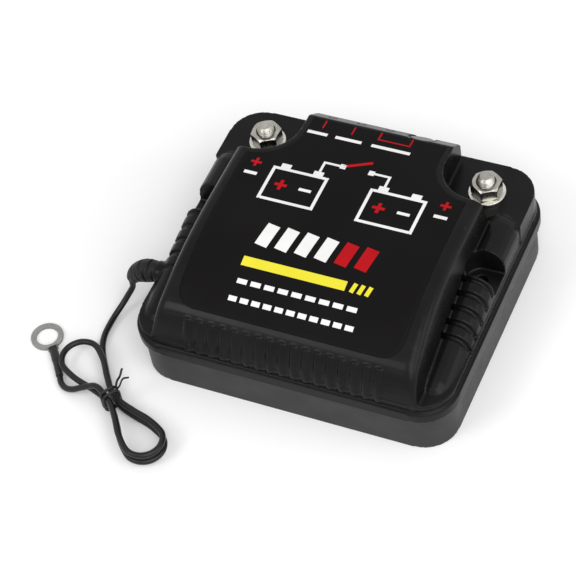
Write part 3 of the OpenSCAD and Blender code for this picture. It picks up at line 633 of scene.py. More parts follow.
@dataclass(frozen=True)
class Studio:
    """Camera at the photograph's place, pale floor and soft lamps; lengths in metres."""

    azimuth: float = 32.031
    elevation: float = 50.231
    roll: float = -11.373
    target: Place = (-20.625 * MM, -14.693 * MM, 20 * MM)
    distance: float = 1064.58 * MM
    lens_mm: float = 144.70
    sensor_mm: float = 36.0
    far_clip: float = 50.0
    floor_half: float = 6.0
    floor_drop: float = 0.02 * MM
    floor_tone: float = 0.97
    sky_level: float = 0.62

    def aim_camera(self) -> None:
        """Places the camera on its line of sight and rolls it about that line."""
        az, el, roll = (math.radians(a) for a in (self.azimuth, self.elevation, self.roll))
        back = Vector((math.sin(az) * math.cos(el), -math.cos(az) * math.cos(el), math.sin(el)))
        right = Vector((math.cos(az), math.sin(az), 0))
        up = back.cross(right)
        rolled_right = math.cos(roll) * right + math.sin(roll) * up
        rolled_up = math.cos(roll) * up - math.sin(roll) * right
        data = bpy.data.cameras.new("studio_camera")
        data.lens = self.lens_mm
        data.sensor_width = self.sensor_mm
        data.clip_end = self.far_clip
        camera = bpy.data.objects.new("studio_camera", data)
        turn = Matrix((rolled_right, rolled_up, back)).transposed().to_4x4()
        camera.matrix_world = Matrix.Translation(Vector(self.target) + self.distance * back) @ turn
        bpy.context.scene.collection.objects.link(camera)
        bpy.context.scene.camera = camera

    def lay_floor(self) -> None:
        """A pale matt floor that keeps the object's shadow."""
        corners = self.floor_half * np.array([(-1, -1, 0), (1, -1, 0), (1, 1, 0), (-1, 1, 0)])
        corners[:, 2] = -self.floor_drop
        pale = (self.floor_tone,) * 3
        paper = Finish("floor_paper", pale, pale, (0.9, 0.95), specular=0.0, depth_mm=0.0)
        put_mesh("studio_floor", corners, np.array([[0, 1, 2, 3]]), paper)

    def light_sky(self) -> None:
        """World light: plain grey on the object, white where it is seen or mirrored."""
        world = bpy.data.worlds.new("studio_world")
        world.use_nodes = True
        bpy.context.scene.world = world
        tree = world.node_tree
        rays = tree.nodes.new("ShaderNodeLightPath").outputs
        direct = worked(tree, "MAXIMUM", rays["Is Camera Ray"], rays["Is Glossy Ray"])
        seen = worked(tree, "MAXIMUM", direct, rays["Is Transmission Ray"])
        shown = tree.nodes["Background"].inputs
        shown["Color"].default_value = (1, 1, 1, 1)
        level = ranged(tree, seen, (0.0, 1.0), (self.sky_level, 1.0))
        tree.links.new(level, shown["Strength"])

    def build(self) -> None:
        """Sets the view, the camera, the floor and the lamps."""
        bpy.context.scene.view_settings.view_transform = "Standard"
        self.aim_camera()
        self.lay_floor()
        self.light_sky()
        for lamp in LAMPS:
            lamp.hang()
        LOG.info("studio: camera, floor and lamps")


@dataclass(frozen=True)
class Boot:
    """The ribbed strain relief; lengths in millimetres, shares along its length."""

    start: Place = (-78.0, -31.0, 30.0)
    full_d: float = 11.0
    tip_d: float = 6.0
    bend_r: float = 16.0
    bend_deg: float = 68.0
    fullest: float = 0.3
    slimmer: float = 0.14
    fall_power: float = 1.5
    rows: int = 181
    around: int = 64
    ribs: int = 9
    cut: float = 0.85
    cut_gain: float = 1.6
    cut_off: float = 0.35
    cut_from: float = 0.07
    cut_to: float = 0.94
    cut_fade: float = 0.05
    lip: float = 0.04
    lip_draw: float = 0.35
    neck_x: float = -70.59
    neck_r: float = 3.25
    collar_x: Span = (-62.2, -59.6)
    collar_r: float = 4.7

    def line(self, count: int) -> np.ndarray:
        """The bent centre line: an arc of bend_r through bend_deg, down and outwards.

        Args:
            count: number of places.

        Returns:
            The places in millimetres.
        """
        a = np.radians(self.bend_deg * np.linspace(0, 1, count))
        x, y, z = self.start
        out, down = self.bend_r * np.sin(a), self.bend_r * (1 - np.cos(a))
        return np.stack([x - out, y + 0 * a, z - down], -1)

    def radius(self, t: np.ndarray) -> np.ndarray:
        """Radius without ribs: slim at the case, fullest at a third, slim at the tip.

        Args:
            t: shares of the way from the case to the tip.

        Returns:
            The radii in millimetres.
        """
        swell = 1 - self.slimmer * (1 - np.clip(t / self.fullest, 0, 1)) ** 2
        fall = np.clip((t - self.fullest) / (1 - self.fullest), 0, 1) ** self.fall_power
        return (self.full_d + (self.tip_d - self.full_d) * fall) / 2 * swell

    def ribbed(self) -> Surface:
        """The ribbed part, carried along the bent line.

        Between the ribs the radius is cut back on two opposite quarters, first one pair
        and then the other, and at the tip it draws in to a lip.

        Returns:
            Points and quads.
        """
        t = np.linspace(0, 1, self.rows)
        rib = self.ribs * t
        cut = self.cut * np.sqrt(np.clip(np.sin(2 * math.pi * rib), 0, 1))
        cut *= np.clip(t / self.cut_from, 0, 1)
        cut *= np.clip((self.cut_to - t) / self.cut_fade, 0, 1)
        angle = full_turn(self.around)
        pairs = [np.clip(self.cut_gain * np.abs(part) - self.cut_off, 0, 1)
                 for part in (np.cos(angle), np.sin(angle))]
        first = (np.floor(rib) % 2 == 0)[:, None]
        radius = self.radius(t)[:, None] - cut[:, None] * np.where(first, *pairs)
        near_tip = np.clip((t - 1 + self.lip) / self.lip, 0, 1)
        radius *= np.sqrt(1 - self.lip_draw * near_tip**2)[:, None]
        return sweep(self.line(self.rows) * MM, radius * MM, self.around)

    def stem(self, ends: Span, r: float) -> Surface:
        """A plain round stem along x in line with the boot's start.

        Args:
            ends: its two places on x.
            r: its radius.

        Returns:
            Points and quads.
        """
        _, y, z = self.start
        path = np.array([(x, y, z) for x in ends]) * MM
        return sweep(path, np.full((2, 1), r * MM), self.around)

    def build(self) -> bpy.types.Object:
        """The boot with its neck through the case wall and its collar inside.

        Returns:
            The boot.
        """
        neck = self.stem((self.start[0], self.neck_x), self.neck_r)
        collar = self.stem(self.collar_x, self.collar_r)
        shapes = join_shapes([self.ribbed(), neck, collar])
        boot = welded(put_mesh("strain_relief_boot", *shapes, BOOT_RUBBER))
        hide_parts("strain_relief")
        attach(boot, ROOT)
        return boot


@dataclass(frozen=True)
class Hank:
    """The wire's folded loops; sizes in millimetres, turns in degrees."""

    middle: Span = (-78.5, -89.5)
    turn: float = -35.0
    run: float = 30.0
    fold: float = 9.0
    waist: float = 2.0
    low: float = 2.6
    climb: float = 3.9
    steps: int = 7
    join: float = -12.0
    leave: float = -8.0
    fold_step: int = 30
    past_row: float = 0.1

    @property
    def top(self) -> float:
        """Height of the wire's middle on the uppermost loop."""
        return self.low + 2 * self.climb

    def half(self, u: float) -> float:
        """Half width of the hank: narrow at the waist, a full fold at its ends."""
        share = (1 - math.cos(math.pi * min(abs(u) / self.run, 1))) / 2
        return self.waist + (self.fold - self.waist) * share

    def points(self, wire_d: float) -> np.ndarray:
        """The hank's loops: two runs and two folds a turn, climbing evenly.

        Args:
            wire_d: diameter of the wire.

        Returns:
            The places along the hank in millimetres.
        """
        rows = [self.run * (2 * i / self.steps - 1) for i in range(self.steps + 1)]
        turns = range(self.fold_step, 180, self.fold_step)

        def ahead(low: float) -> list[Span]:
            """The upper run from low to the right fold."""
            return [(u, self.half(u)) for u in rows if u > low]

        def back(low: float) -> list[Span]:
            """The lower run from the right fold down to low."""
            return [(u, -self.half(u)) for u in reversed(rows) if u > low]

        def fold(side: int) -> list[Span]:
            """The half circle at one end."""
            return [(side * (self.run + self.fold * math.sin(math.radians(a))),
                     side * self.fold * math.cos(math.radians(a))) for a in turns]

        edge = -self.run - self.past_row
        plan = [(self.join, self.half(self.join)), *ahead(self.join + wire_d), *fold(1)]
        plan += [*back(edge), *fold(-1), *ahead(edge), *fold(1)]
        plan += [*back(self.leave + wire_d), (self.leave, -self.half(self.leave))]
        u, v = np.array(plan).T
        z = np.linspace(self.low, self.top, len(plan))
        turn = math.radians(self.turn)
        return np.stack([self.middle[0] + u * math.cos(turn) - v * math.sin(turn),
                         self.middle[1] + u * math.sin(turn) + v * math.cos(turn), z], -1)


@dataclass(frozen=True)
class Sleeve:
    """The shrunk sleeve; lengths in millimetres, shares along its length."""

    points: tuple[Place, ...] = (
        (-109.8, -82.6, 2.3), (-112.2, -79.4, 2.4), (-115.8, -74.6, 2.2),
        (-120.5, -68.6, 1.9),
    )
    d: float = 4.0
    parts: int = 12
    step: float = 0.3
    around: int = 40
    neck: float = 0.86
    neck_to: float = 0.45
    shoulder: float = 0.12
    ripple: float = 0.02
    ripple_along: float = 26.0
    ripple_round: int = 2
    ripple_beat: float = 9.0
    lip: float = 0.03
    lip_draw: float = 0.3

    def build(self) -> bpy.types.Object:
        """The sleeve, a tube that necks in over the wire and has soft ripples.

        Returns:
            The sleeve.
        """
        path = even_path(smooth_path(np.array(self.points), self.parts), self.step) * MM
        t = np.linspace(0, 1, len(path))[:, None]
        angle = full_turn(self.around)[None, :]
        swell = self.neck + (1 - self.neck) * np.clip((t - self.neck_to) / self.shoulder, 0, 1)
        wave = np.sin(self.ripple_along * t + self.ripple_round * angle)
        ripple = 1 + self.ripple * wave * np.sin(self.ripple_beat * t)
        near_end = np.clip(np.abs(2 * t - 1) - (1 - self.lip), 0, None) / self.lip
        radius = self.d / 2 * MM * swell * ripple * np.sqrt(1 - self.lip_draw * near_end)
        sleeve = welded(put_mesh("shrunk_sleeve", *sweep(path, radius, self.around), SHRINK))
        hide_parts("shrink_sleeve")
        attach(sleeve, ROOT)
        return sleeve


@dataclass(frozen=True)
class Tie:
    """The soft tie: a flat band round the waist and two ends; sizes in millimetres."""

    width: float = 3.0
    thick: float = 0.8
    slack: float = 0.7
    low: float = 0.6
    around: int = 12
    band_rows: int = 72
    band_corner: float = 0.5
    band_turns: Span = (-0.6, 0.7)
    band_lean: float = 0.4
    band_share: float = 0.55
    band_wide: float = 1.5
    end_rows: int = 40
    end_share: float = 0.5
    end_wide: float = 1.3
    end_from: float = 0.9
    end_gap: float = 0.4
    end_sink: float = 0.6
    end_out: float = 6.2
    end_apart: float = 2.2
    end_curl: float = 0.5
    end_waves: float = 8.0
    end_reach: float = 0.92

    def build(self, hank: Hank, wire_d: float) -> bpy.types.Object:
        """The band's two turns and the two ends, each end a quarter wave upwards.

        The band follows a rounded rectangle, a superellipse of power four.

        Args:
            hank: the hank that it holds.
            wire_d: diameter of the wire.

        Returns:
            The tie.
        """
        turn = math.radians(hank.turn)
        along = np.array([math.cos(turn), math.sin(turn), 0]) * MM
        across = np.array([-math.sin(turn), math.cos(turn), 0]) * MM
        upward = np.array([0, 0, MM])
        middle = np.array([*hank.middle, 0]) * MM
        half = hank.waist + wire_d / 2 + self.slack
        top = hank.top + wire_d / 2 + self.slack
        a = full_turn(self.band_rows)
        wide, tall = (np.sign(w) * np.abs(w) ** self.band_corner for w in (np.cos(a), np.sin(a)))
        level = (top + self.low) / 2 + (top - self.low) / 2 * tall
        shapes = []
        for shift in self.band_turns:
            lean = shift * self.width / 2 * (1 + self.band_lean * np.sin(a))
            ring = middle + np.stack([half * wide, lean, level], -1) @ [across, along, upward]
            ring = np.concatenate([ring, ring[:1]])
            thick = np.full((len(ring), 1), self.band_share * self.thick * MM)
            shapes.append(sweep(ring, thick, self.around, self.band_wide))
        reach = (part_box("lead_tie")[1][2] / MM - top) * self.end_reach
        t = np.linspace(0, 1, self.end_rows)
        out = half * self.end_from + self.end_out * t
        rise = top - self.end_sink + reach * np.sin(math.pi / 2 * t)
        apart = self.end_gap + self.end_apart * t + self.end_curl * np.sin(self.end_waves * t)
        for side in (-1, 1):
            end = middle + np.stack([out, side * apart, rise], -1) @ [across, along, upward]
            thick = np.full((self.end_rows, 1), self.end_share * self.thick * MM)
            shapes.append(sweep(end, thick, self.around, self.end_wide))
        tie = welded(put_mesh("hank_tie", *join_shapes(shapes), JACKET))
        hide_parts("lead_tie")
        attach(tie, ROOT)
        return tie


@dataclass(frozen=True)
class GroundLead:
    """The ground lead from the case to its ring; places and sizes in millimetres."""

    wire_d: float = 2.9
    free_points: tuple[Place, ...] = (
        (-94.5, -31, 13), (-96.5, -33.5, 9), (-98.5, -37.5, 5.5), (-100, -42.5, 3.4),
        (-100.5, -48, 2.6), (-100.2, -53.5, 2.5), (-98.8, -59, 2.5), (-96.2, -64.2, 2.5),
        (-93, -69, 2.6),
    )
    tail_points: tuple[Place, ...] = (
        (-90.5, -87.3, 8.8), (-95, -88, 6.6), (-99.5, -88.6, 4.2), (-103.8, -88, 2.6),
        (-107.4, -85.8, 2.1),
    )
    parts: int = 12
    step: float = 0.9
    around: int = 20
    boot: Boot = Boot()
    hank: Hank = Hank()
    sleeve: Sleeve = Sleeve()
    tie: Tie = Tie()

    def route(self) -> np.ndarray:
        """The wire's route from the boot's tip through the hank to the sleeve.

        Returns:
            Even places in metres.
        """
        tip = self.boot.line(2)[-1]
        turn = math.radians(self.boot.bend_deg)
        straight = tip + self.wire_d * np.array([-math.cos(turn), 0, -math.sin(turn)])
        points = np.concatenate([[tip, straight], self.free_points, self.hank.points(self.wire_d),
                                 self.tail_points, self.sleeve.points[:1]])
        return even_path(smooth_path(points, self.parts), self.step) * MM

    def build_wire(self, path: np.ndarray) -> bpy.types.Object:
        """The wire as one smooth tube.

        Args:
            path: its places in metres.

        Returns:
            The wire.
        """
        radius = np.full((len(path), 1), self.wire_d / 2 * MM)
        wire = welded(put_mesh("ground_lead", *sweep(path, radius, self.around), JACKET))
        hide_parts("lead_cord", "lead_hank", "lead_tail")
        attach(wire, ROOT)
        return wire

    def build(self) -> None:
        path = self.route()
        boot = self.boot.build()
        wire = self.build_wire(path)
        sleeve = self.sleeve.build()
        tie = self.tie.build(self.hank, self.wire_d)


@dataclass
class Housing:
    """Tray and cover with softly rounded moulded edges; lengths in metres."""

    voxel: float = 0.5 * MM
    quick_voxel: float = 1.0 * MM
    weld: float = 5e-6
    soften: int = 5
    soften_share: float = 0.5
    most_faces: int = 190_000

    def rounded(self, node: str, name: str, finish: Finish) -> bpy.types.Object:
        """Copies a node, rebuilds it in small even cells and smooths its edges.

        Args:
            node: the CAD node that the piece stands for.
            name: the piece's name.
            finish: its finish.

        Returns:
            The rounded piece.
        """
        piece = bpy.data.objects.new(name, frame["nodes"][node].data.copy())
        bpy.context.scene.collection.objects.link(piece)
        welded(piece, self.weld)
        cells = piece.modifiers.new("cells", "REMESH")
        cells.mode = "VOXEL"
        cells.voxel_size = self.voxel
        soft = piece.modifiers.new("soft", "SMOOTH")
        soft.factor = self.soften_share
        soft.iterations = self.soften
        piece.data = self.applied(piece)
        faces = sum(len(p.vertices) - 2 for p in piece.data.polygons)
        if faces > self.most_faces:
            fewer = piece.modifiers.new("fewer", "DECIMATE")
            fewer.ratio = self.most_faces / faces
            piece.data = self.applied(piece)
        shade(piece, True)
        piece.data.materials.clear()
        piece.data.materials.append(finish.build())
        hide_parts(node)
        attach(piece, ROOT)
        return piece

    def applied(self, piece: bpy.types.Object) -> bpy.types.Mesh:
        """Applies every modifier of a piece.

        Args:
            piece: the object with live modifiers.

        Returns:
            The evaluated mesh.
        """
        graph = bpy.context.evaluated_depsgraph_get()
        mesh = bpy.data.meshes.new_from_object(piece.evaluated_get(graph))
        piece.modifiers.clear()
        return mesh

    def build(self) -> None:
        """Builds the tray and the cover."""
        self.rounded("base_tray", "lower_tray", TRAY_PLASTIC)
        self.rounded("top_cover", "moulded_cover", COVER_PLASTIC)
        LOG.info("housing: tray and cover")


class Ink(Enum):
    """The inks of the label, each with its finish."""

    WHITE = PRINT_WHITE
    RED = PRINT_RED
    YELLOW = PRINT_YELLOW


@dataclass(frozen=True)
class Marks:
    """Like strokes of one ink side by side on the label; places in millimetres.

    Each stroke runs from its middle less reach to its middle plus reach.
    """

    ink: Ink
    xs: tuple[float, ...]
    y: float
    reach: Span
    width: float


def even_row(count: int, pitch: float) -> tuple[float, ...]:
    """Places at an even pitch, centred on zero."""
    return tuple((k - (count - 1) / 2) * pitch for k in range(count))


LABEL_MARKS = (
    # Two battery outlines with their posts and signs
    Marks(Ink.WHITE, (-24.0, 24.0), 2.0, (13.0, 0.0), 1.5),
    Marks(Ink.WHITE, (-24.0, 24.0), 21.0, (13.0, 0.0), 1.5),
    Marks(Ink.WHITE, (-37.0, -11.0, 11.0, 37.0), 11.5, (0.0, 10.25), 1.5),
    Marks(Ink.WHITE, (-32.0, -16.0, 16.0, 32.0), 23.0, (2.4, 0.0), 2.6),
    Marks(Ink.RED, (-30.0, 18.0), 11.5, (3.0, 0.0), 1.6),
    Marks(Ink.RED, (-30.0, 18.0), 11.5, (0.0, 3.0), 1.6),
    Marks(Ink.WHITE, (-18.0, 30.0), 11.5, (3.0, 0.0), 1.6),
    # Wires from both batteries to an open switch between them
    Marks(Ink.WHITE, (-16.0, 16.0), 27.55, (0.0, 3.55), 1.2),
    Marks(Ink.WHITE, (-11.5, 11.5), 30.5, (4.5, 0.0), 1.2),
    Marks(Ink.WHITE, (-7.0, 7.0), 30.5, (1.4, 0.0), 2.8),
    Marks(Ink.RED, (-0.9,), 33.6, (6.1, 3.1), 1.5),
    # Pointers to the lamps and the button, with a bar for each
    Marks(Ink.RED, (-26.0, -11.5), 53.8, (0.0, 2.6), 0.7),
    Marks(Ink.RED, (1.6, 17.0), 54.4, (0.0, 2.4), 0.7),
    Marks(Ink.RED, (9.3,), 52.0, (8.05, 0.0), 0.7),
    Marks(Ink.WHITE, (-27.0,), 47.4, (5.0, 0.0), 1.8),
    Marks(Ink.WHITE, (-11.5,), 47.4, (6.5, 0.0), 1.8),
    Marks(Ink.WHITE, (9.5,), 47.4, (9.5, 0.0), 1.8),
    # Signs beside the terminals
    Marks(Ink.RED, (-46.5, 46.5), 21.5, (2.6, 0.0), 1.3),
    Marks(Ink.RED, (-46.5, 46.5), 21.5, (0.0, 2.6), 1.3),
    Marks(Ink.WHITE, (-46.5, 46.5), 14.6, (3.2, 0.0), 1.8),
    # Level blocks, a stripe with three short strokes, and two rows of dashes
    Marks(Ink.WHITE, (-24.0, -14.4, -4.8, 4.8), -17.5, (1.0, 6.0), 6.2),
    Marks(Ink.RED, (14.4, 24.0), -17.5, (1.0, 6.0), 6.2),
    Marks(Ink.YELLOW, (-5.0,), -32.5, (25.0, 0.0), 4.6),
    Marks(Ink.YELLOW, (23.6, 27.2, 30.8), -32.5, (0.5, 2.3), 2.0),
    Marks(Ink.WHITE, even_row(9, 6.6), -42.0, (2.4, 0.0), 2.2),
    Marks(Ink.WHITE, even_row(11, 5.6), -50.0, (2.0, 0.0), 2.2),
)


@dataclass(frozen=True)
class PrintedLabel:
    """The label film on the crown with its printed marks; sizes in millimetres."""

    crown_z: float = 60.0
    shoulder_y: float = -55.18
    shoulder_z: float = 49.11
    crown_power: float = 2.5
    back_y: float = 58.4
    back_drop: float = 3.0
    front_arc_y: float = -50.5
    front_round: float = 17.0
    front_h: float = 23.0
    front_z: float = 27.0
    half: float = 54.0
    front_edge: float = -58.0
    rear_edge: float = 57.2
    corner: float = 9.0
    stud_x: float = 55.0
    stud_y: float = 48.5
    stud_clear: float = 22.0
    film_t: float = 0.3
    film_sink: float = 0.1
    corner_rows: int = 24
    plain_rows: int = 60
    hollow_rows: int = 30
    rear_rows: int = 12
    columns: int = 61
    ink_t: float = 0.07
    ink_sink: float = 0.05
    ink_cell: float = 1.2

    def height(self, y: np.ndarray) -> np.ndarray:
        """Height of the crown at y, and of the rounded front before its shoulder.

        Behind the middle it falls by back_drop with the square of y, in front of it by
        a power of y down to the shoulder, and from there along the front's ellipse.

        Args:
            y: places along the depth.

        Returns:
            The heights.
        """
        rear = self.crown_z - self.back_drop * (np.clip(y, 0, None) / self.back_y) ** 2
        fall = (np.clip(-y, 0, None) / -self.shoulder_y) ** self.crown_power
        front = self.crown_z - (self.crown_z - self.shoulder_z) * fall
        reach = np.clip((self.front_arc_y - y) / self.front_round, 0, 1)
        arc = self.front_z + self.front_h * np.sqrt(1 - reach**2)
        return np.where(y >= 0, rear, np.where(y > self.shoulder_y, front, arc))

    def half_width(self, y: np.ndarray) -> np.ndarray:
        """Half width of the film: round front corners and hollows about the studs.

        Args:
            y: places along the depth.

        Returns:
            The half widths.
        """
        in_corner = np.clip(self.front_edge + self.corner - y, 0, self.corner)
        plain = self.half - self.corner + np.sqrt(self.corner**2 - in_corner**2)
        off = np.clip(np.abs(y - self.stud_y), 0, self.stud_clear)
        hollow = self.stud_x - np.sqrt(self.stud_clear**2 - off**2)
        near = y > self.stud_y - self.stud_clear
        past = np.where(y > self.stud_y, self.stud_x - self.stud_clear, hollow)
        return np.where(near, np.minimum(plain, past), plain)

    def slab(self, x: np.ndarray, y: np.ndarray, low: float, high: float) -> Surface:
        """A thin closed slab that follows the crown between two heights above it.

        Args:
            x: grid of places across.
            y: grid of places along the depth.
            low: height of its underside above the crown.
            high: height of its top above the crown.

        Returns:
            Points and quads.
        """
        rows, columns = x.shape
        crown = self.height(y)
        top = np.stack([x, y, crown + high], -1).reshape(-1, 3)
        under = np.stack([x, y, crown + low], -1).reshape(-1, 3)
        faces = grid_faces(rows, columns)
        count = rows * columns
        index = np.arange(count).reshape(rows, columns)
        edges = index[0, :-1], index[:-1, -1], index[-1, :0:-1], index[:0:-1, 0]
        loop = np.concatenate(edges)
        after = np.roll(loop, -1)
        wall = np.stack([loop, loop + count, after + count, after], -1)
        faces = np.concatenate([faces, faces[:, ::-1] + count, wall])
        return np.concatenate([top, under]) * MM, faces

    def build_film(self) -> None:
        """The film as one slab whose rows run from its front edge to its rear edge."""
        corner, hollow = self.front_edge + self.corner, self.stud_y - self.stud_clear
        bend = np.cos(np.linspace(0, math.pi / 2, self.hollow_rows))
        y = np.unique(np.concatenate([
            np.linspace(self.front_edge, corner, self.corner_rows),
            np.linspace(corner, hollow, self.plain_rows),
            self.stud_y - self.stud_clear * bend,
            np.linspace(self.stud_y, self.rear_edge, self.rear_rows),
        ]))
        x = np.linspace(-1, 1, self.columns)[None, :] * self.half_width(y)[:, None]
        grid_y = np.broadcast_to(y[:, None], x.shape)
        points, faces = self.slab(x, grid_y, -self.film_sink, self.film_t)
        film = welded(put_mesh("printed_label_film", points, faces, LABEL_FILM))
        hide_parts("label_film")
        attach(film, ROOT)

    def ribbon(self, middle: np.ndarray, reach: np.ndarray, width: float) -> Surface:
        """Lays one stroke on the film as a thin slab.

        Its grid is middle + t reach + s side, with t and s from -1 to 1 and side square
        to reach and half the width long.

        Args:
            middle: the stroke's middle.
            reach: half of the stroke's run.
            width: its width.

        Returns:
            Points and quads.
        """
        half = np.hypot(*reach)
        side = np.array([-reach[1], reach[0]]) / half * width / 2
        t = np.linspace(-1, 1, max(2, round(2 * half / self.ink_cell)))[None, :, None]
        s = np.linspace(-1, 1, max(2, round(width / self.ink_cell) + 1))[:, None, None]
        x, y = np.moveaxis(middle + t * reach + s * side, -1, 0)
        return self.slab(x, y, self.film_t - self.ink_sink, self.film_t + self.ink_t)

    def build_ink(self, ink: Ink) -> None:
        """Makes every stroke of one ink one flat-shaded piece.

        Args:
            ink: the ink that is laid.
        """
        shapes = [self.ribbon(np.array((x, marks.y)), np.array(marks.reach), marks.width)
                  for marks in LABEL_MARKS if marks.ink is ink for x in marks.xs]
        piece = put_mesh(f"label_ink_{ink.name.lower()}", *join_shapes(shapes), ink.value)
        shade(welded(piece, 0), False)
        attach(piece, ROOT)
        LOG.info("label: %d strokes of %s ink", len(shapes), ink.name.lower())

    def build(self) -> None:
        """Builds the film and one piece of ink for each colour."""
        self.build_film()
        for ink in Ink:
            self.build_ink(ink)


@dataclass(frozen=True)
class Terminal:
    """One stud with its washer and nut; sizes in millimetres, turns in degrees."""

    word: str
    around: int = 120
    stud_d: float = 8.0
    pitch: float = 1.25
    thread_depth: float = 0.55
    thread_low_z: float = 45.0
    thread_run_in: float = 1.0
    thread_row: float = 0.12
    tip_chamfer: float = 1.3
    tip_dish: float = 0.15
    head_h: float = 4.0
    head_soft: float = 0.25
    head_draw: float = 0.97
    hole_clear: float = 0.05
    washer_soft: float = 0.35
    corner_steps: int = 5
    nut_af: float = 13.0
    nut_around: int = 144
    nut_flat_turn: float = 29.2
    nut_rim_h: Span = (1.3, 1.6)
    nut_rim_rows: int = 9
    nut_side_rows: int = 5
    nut_face_in: float = 0.15
    nut_cone: float = 0.75 * math.tan(math.radians(60))
    bore_wide: float = 0.7
    bore_deep: float = 0.6
    crease: float = 32.0

    def build_stud(self) -> None:
        """The stud: a helical thread whose depth follows height less angle.

        The radius at height z and angle a falls by the depth times a triangle wave of
        z / pitch - a / full turn, and the top is chamfered. Its head is a hexagon.
        """
        node = f"{self.word}_stud"
        bottom, top = (corner[2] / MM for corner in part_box(node))
        shoulder = bottom + self.head_h
        rows = round((top - shoulder) / self.thread_row)
        z = np.linspace(shoulder, top, rows)[:, None]
        angle = full_turn(self.around)
        wave = np.abs(2 * ((z / self.pitch - angle / (2 * math.pi)) % 1) - 1)
        threaded = np.clip((z - self.thread_low_z) / self.thread_run_in, 0, 1)
        chamfer = np.clip(z - (top - self.tip_chamfer), 0, None)
        cut = np.maximum(self.thread_depth * wave * threaded, chamfer)
        body = about_axis(self.stud_d / 2 - cut, angle, z)
        shank = capped(body, shoulder, top - self.tip_dish)
        sixth = math.pi / 3
        hexagon = self.nut_af / 2 / np.cos((angle + sixth / 2) % sixth - sixth / 2)
        draw = np.array([self.head_draw, 1, 1, self.head_draw])[:, None]
        levels = np.array([0, self.head_soft, self.head_h - self.head_soft, self.head_h])
        sides = about_axis(draw * hexagon, angle, bottom + levels[:, None])
        head = capped(sides, bottom, shoulder)
        self.finish("terminal_stud", join_shapes([shank, head]), node, ZINC, "zinc_steel", ROOT)

    def build_washer(self) -> None:
        """The washer: a turned ring whose profile has four round corners."""
        node = f"{self.word}_washer"
        low, high = (corner / MM for corner in map(np.array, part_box(node)))
        soft = self.washer_soft
        outer = (high[0] - low[0]) / 2 - soft
        inner = self.stud_d / 2 + self.hole_clear + soft
        under, over = low[2] + soft, high[2] - soft
        turn = np.linspace(0, 90, self.corner_steps)
        corners = ((outer, under, -90), (outer, over, 0), (inner, over, 90), (inner, under, 180))
        profile = []
        for r, z, first in corners:
            a = np.radians(turn + first)
            profile.append(np.stack([r + soft * np.cos(a), z + soft * np.sin(a)], -1))
        shape = lathe(np.concatenate(profile), self.around)
        self.finish("flat_washer", shape, node, BRIGHT_ZINC, "nickel_steel", node)

    def build_nut(self) -> None:
        """The nut: a hexagon cut by a cone above and below, with a countersunk bore.

        The radius is the smaller of the hexagon's at that angle and the cone's, which
        grows by nut_cone for each unit of depth under the nearer face.
        """
        node = f"{self.word}_nut"
        low, high = (corner[2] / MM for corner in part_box(node))
        tall, half = high - low, self.nut_af / 2
        angle = full_turn(self.nut_around)
        sixth = math.pi / 3
        swing = np.abs((angle + sixth / 2) % sixth - sixth / 2)
        flat = half / np.cos(np.minimum(swing, math.radians(self.nut_flat_turn)))
        rise = np.concatenate([np.linspace(0, self.nut_rim_h[0], self.nut_rim_rows),
                               np.linspace(self.nut_rim_h[1], tall / 2, self.nut_side_rows)])
        rise = np.concatenate([rise, tall - rise[-2::-1]])[:, None]
        cone = half - self.nut_face_in + self.nut_cone * np.minimum(rise, tall - rise)
        outer = about_axis(np.minimum(flat, cone), angle, low + rise)
        bore = self.stud_d / 2 + self.hole_clear
        wide, deep = bore + self.bore_wide, self.bore_deep
        rings = np.array([(wide, high), (bore, high - deep), (bore, low + deep), (wide, low)])
        inner = about_axis(rings[:, :1], angle, rings[:, 1:])
        rows = np.concatenate([outer, inner, outer[:1]])
        shape = rows.reshape(-1, 3), grid_faces(len(rows), self.nut_around, close_columns=True)
        self.finish("hex_nut", shape, node, NICKEL, "nickel_steel", node)

    def finish(
        self, kind: str, shape: Surface, node: str, finish: Finish, slot: str, body: str
    ) -> None:
        """Puts a turned piece on its node's axis.

        Args:
            kind: the piece's name after the terminal's.
            shape: places about the vertical axis in millimetres, and quads.
            node: the node that it stands for.
            finish: its finish.
            slot: not used.
            body: the body that it rides on.
        """
        points, faces = shape
        axis = np.mean(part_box(node), axis=0) * (1, 1, 0)
        piece = welded(put_mesh(f"{self.word}_{kind}", points * MM + axis, faces, finish))
        sharp = piece.modifiers.new("creases", "EDGE_SPLIT")
        sharp.split_angle = math.radians(self.crease)
        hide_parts(node)
        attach(piece, body)

    def build(self) -> None:
        """Builds the stud, the washer and the nut."""
        self.build_stud()
        self.build_washer()
        self.build_nut()
        LOG.info("%s terminal: stud, washer and nut", self.word)


@dataclass(frozen=True)
class PressedSpring:
    """A coil spring copied from its node and dressed in plain steel."""

    node: str
    joint: str
    name: str

    def build(self) -> None:
        """Copies the spring, dresses it in plain steel and puts it on the root in its node's
        place.
        """
        moves = next(j for j in frame["record"]["behaviour"]["joints"] if j["name"] == self.joint)
        axis = np.array(moves["axis"], dtype=float)
        axis /= np.linalg.norm(axis)
        piece = bpy.data.objects.new(self.name, frame["nodes"][self.node].data.copy())
        bpy.context.scene.collection.objects.link(piece)
        piece.data.materials.clear()
        dress(welded(piece), PLAIN_STEEL)
        points = np.empty(3 * len(piece.data.vertices))
        piece.data.vertices.foreach_get("co", points)
        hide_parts(self.node)
        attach(piece, ROOT)
        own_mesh(piece)


def dress_frame() -> None:
    """Dresses every CAD node that no piece replaces."""
    for node, finish in NODE_FINISHES.items():
        dress(frame["nodes"][node], finish)
    LOG.info("frame: %d nodes dressed", len(NODE_FINISHES))


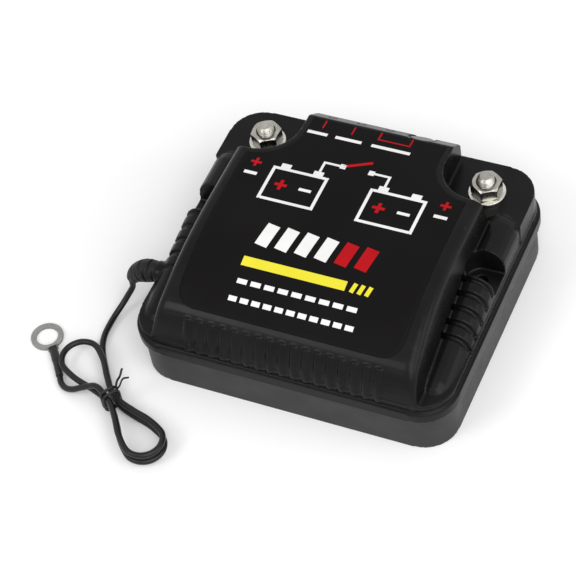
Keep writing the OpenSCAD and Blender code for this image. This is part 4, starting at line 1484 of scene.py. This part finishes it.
def main() -> None:
    """Builds the studio and every piece in order."""
    Studio().build()
    GroundLead().build()
    Housing().build()
    PrintedLabel().build()
    for word in ("main", "aux"):
        Terminal(word).build()
    PressedSpring("button_spring", "reset_press", "button_return_spring").build()
    PressedSpring("return_spring", "relay_pull", "relay_return_spring").build()
    dress_frame()


if __name__ == "__main__":
    main()
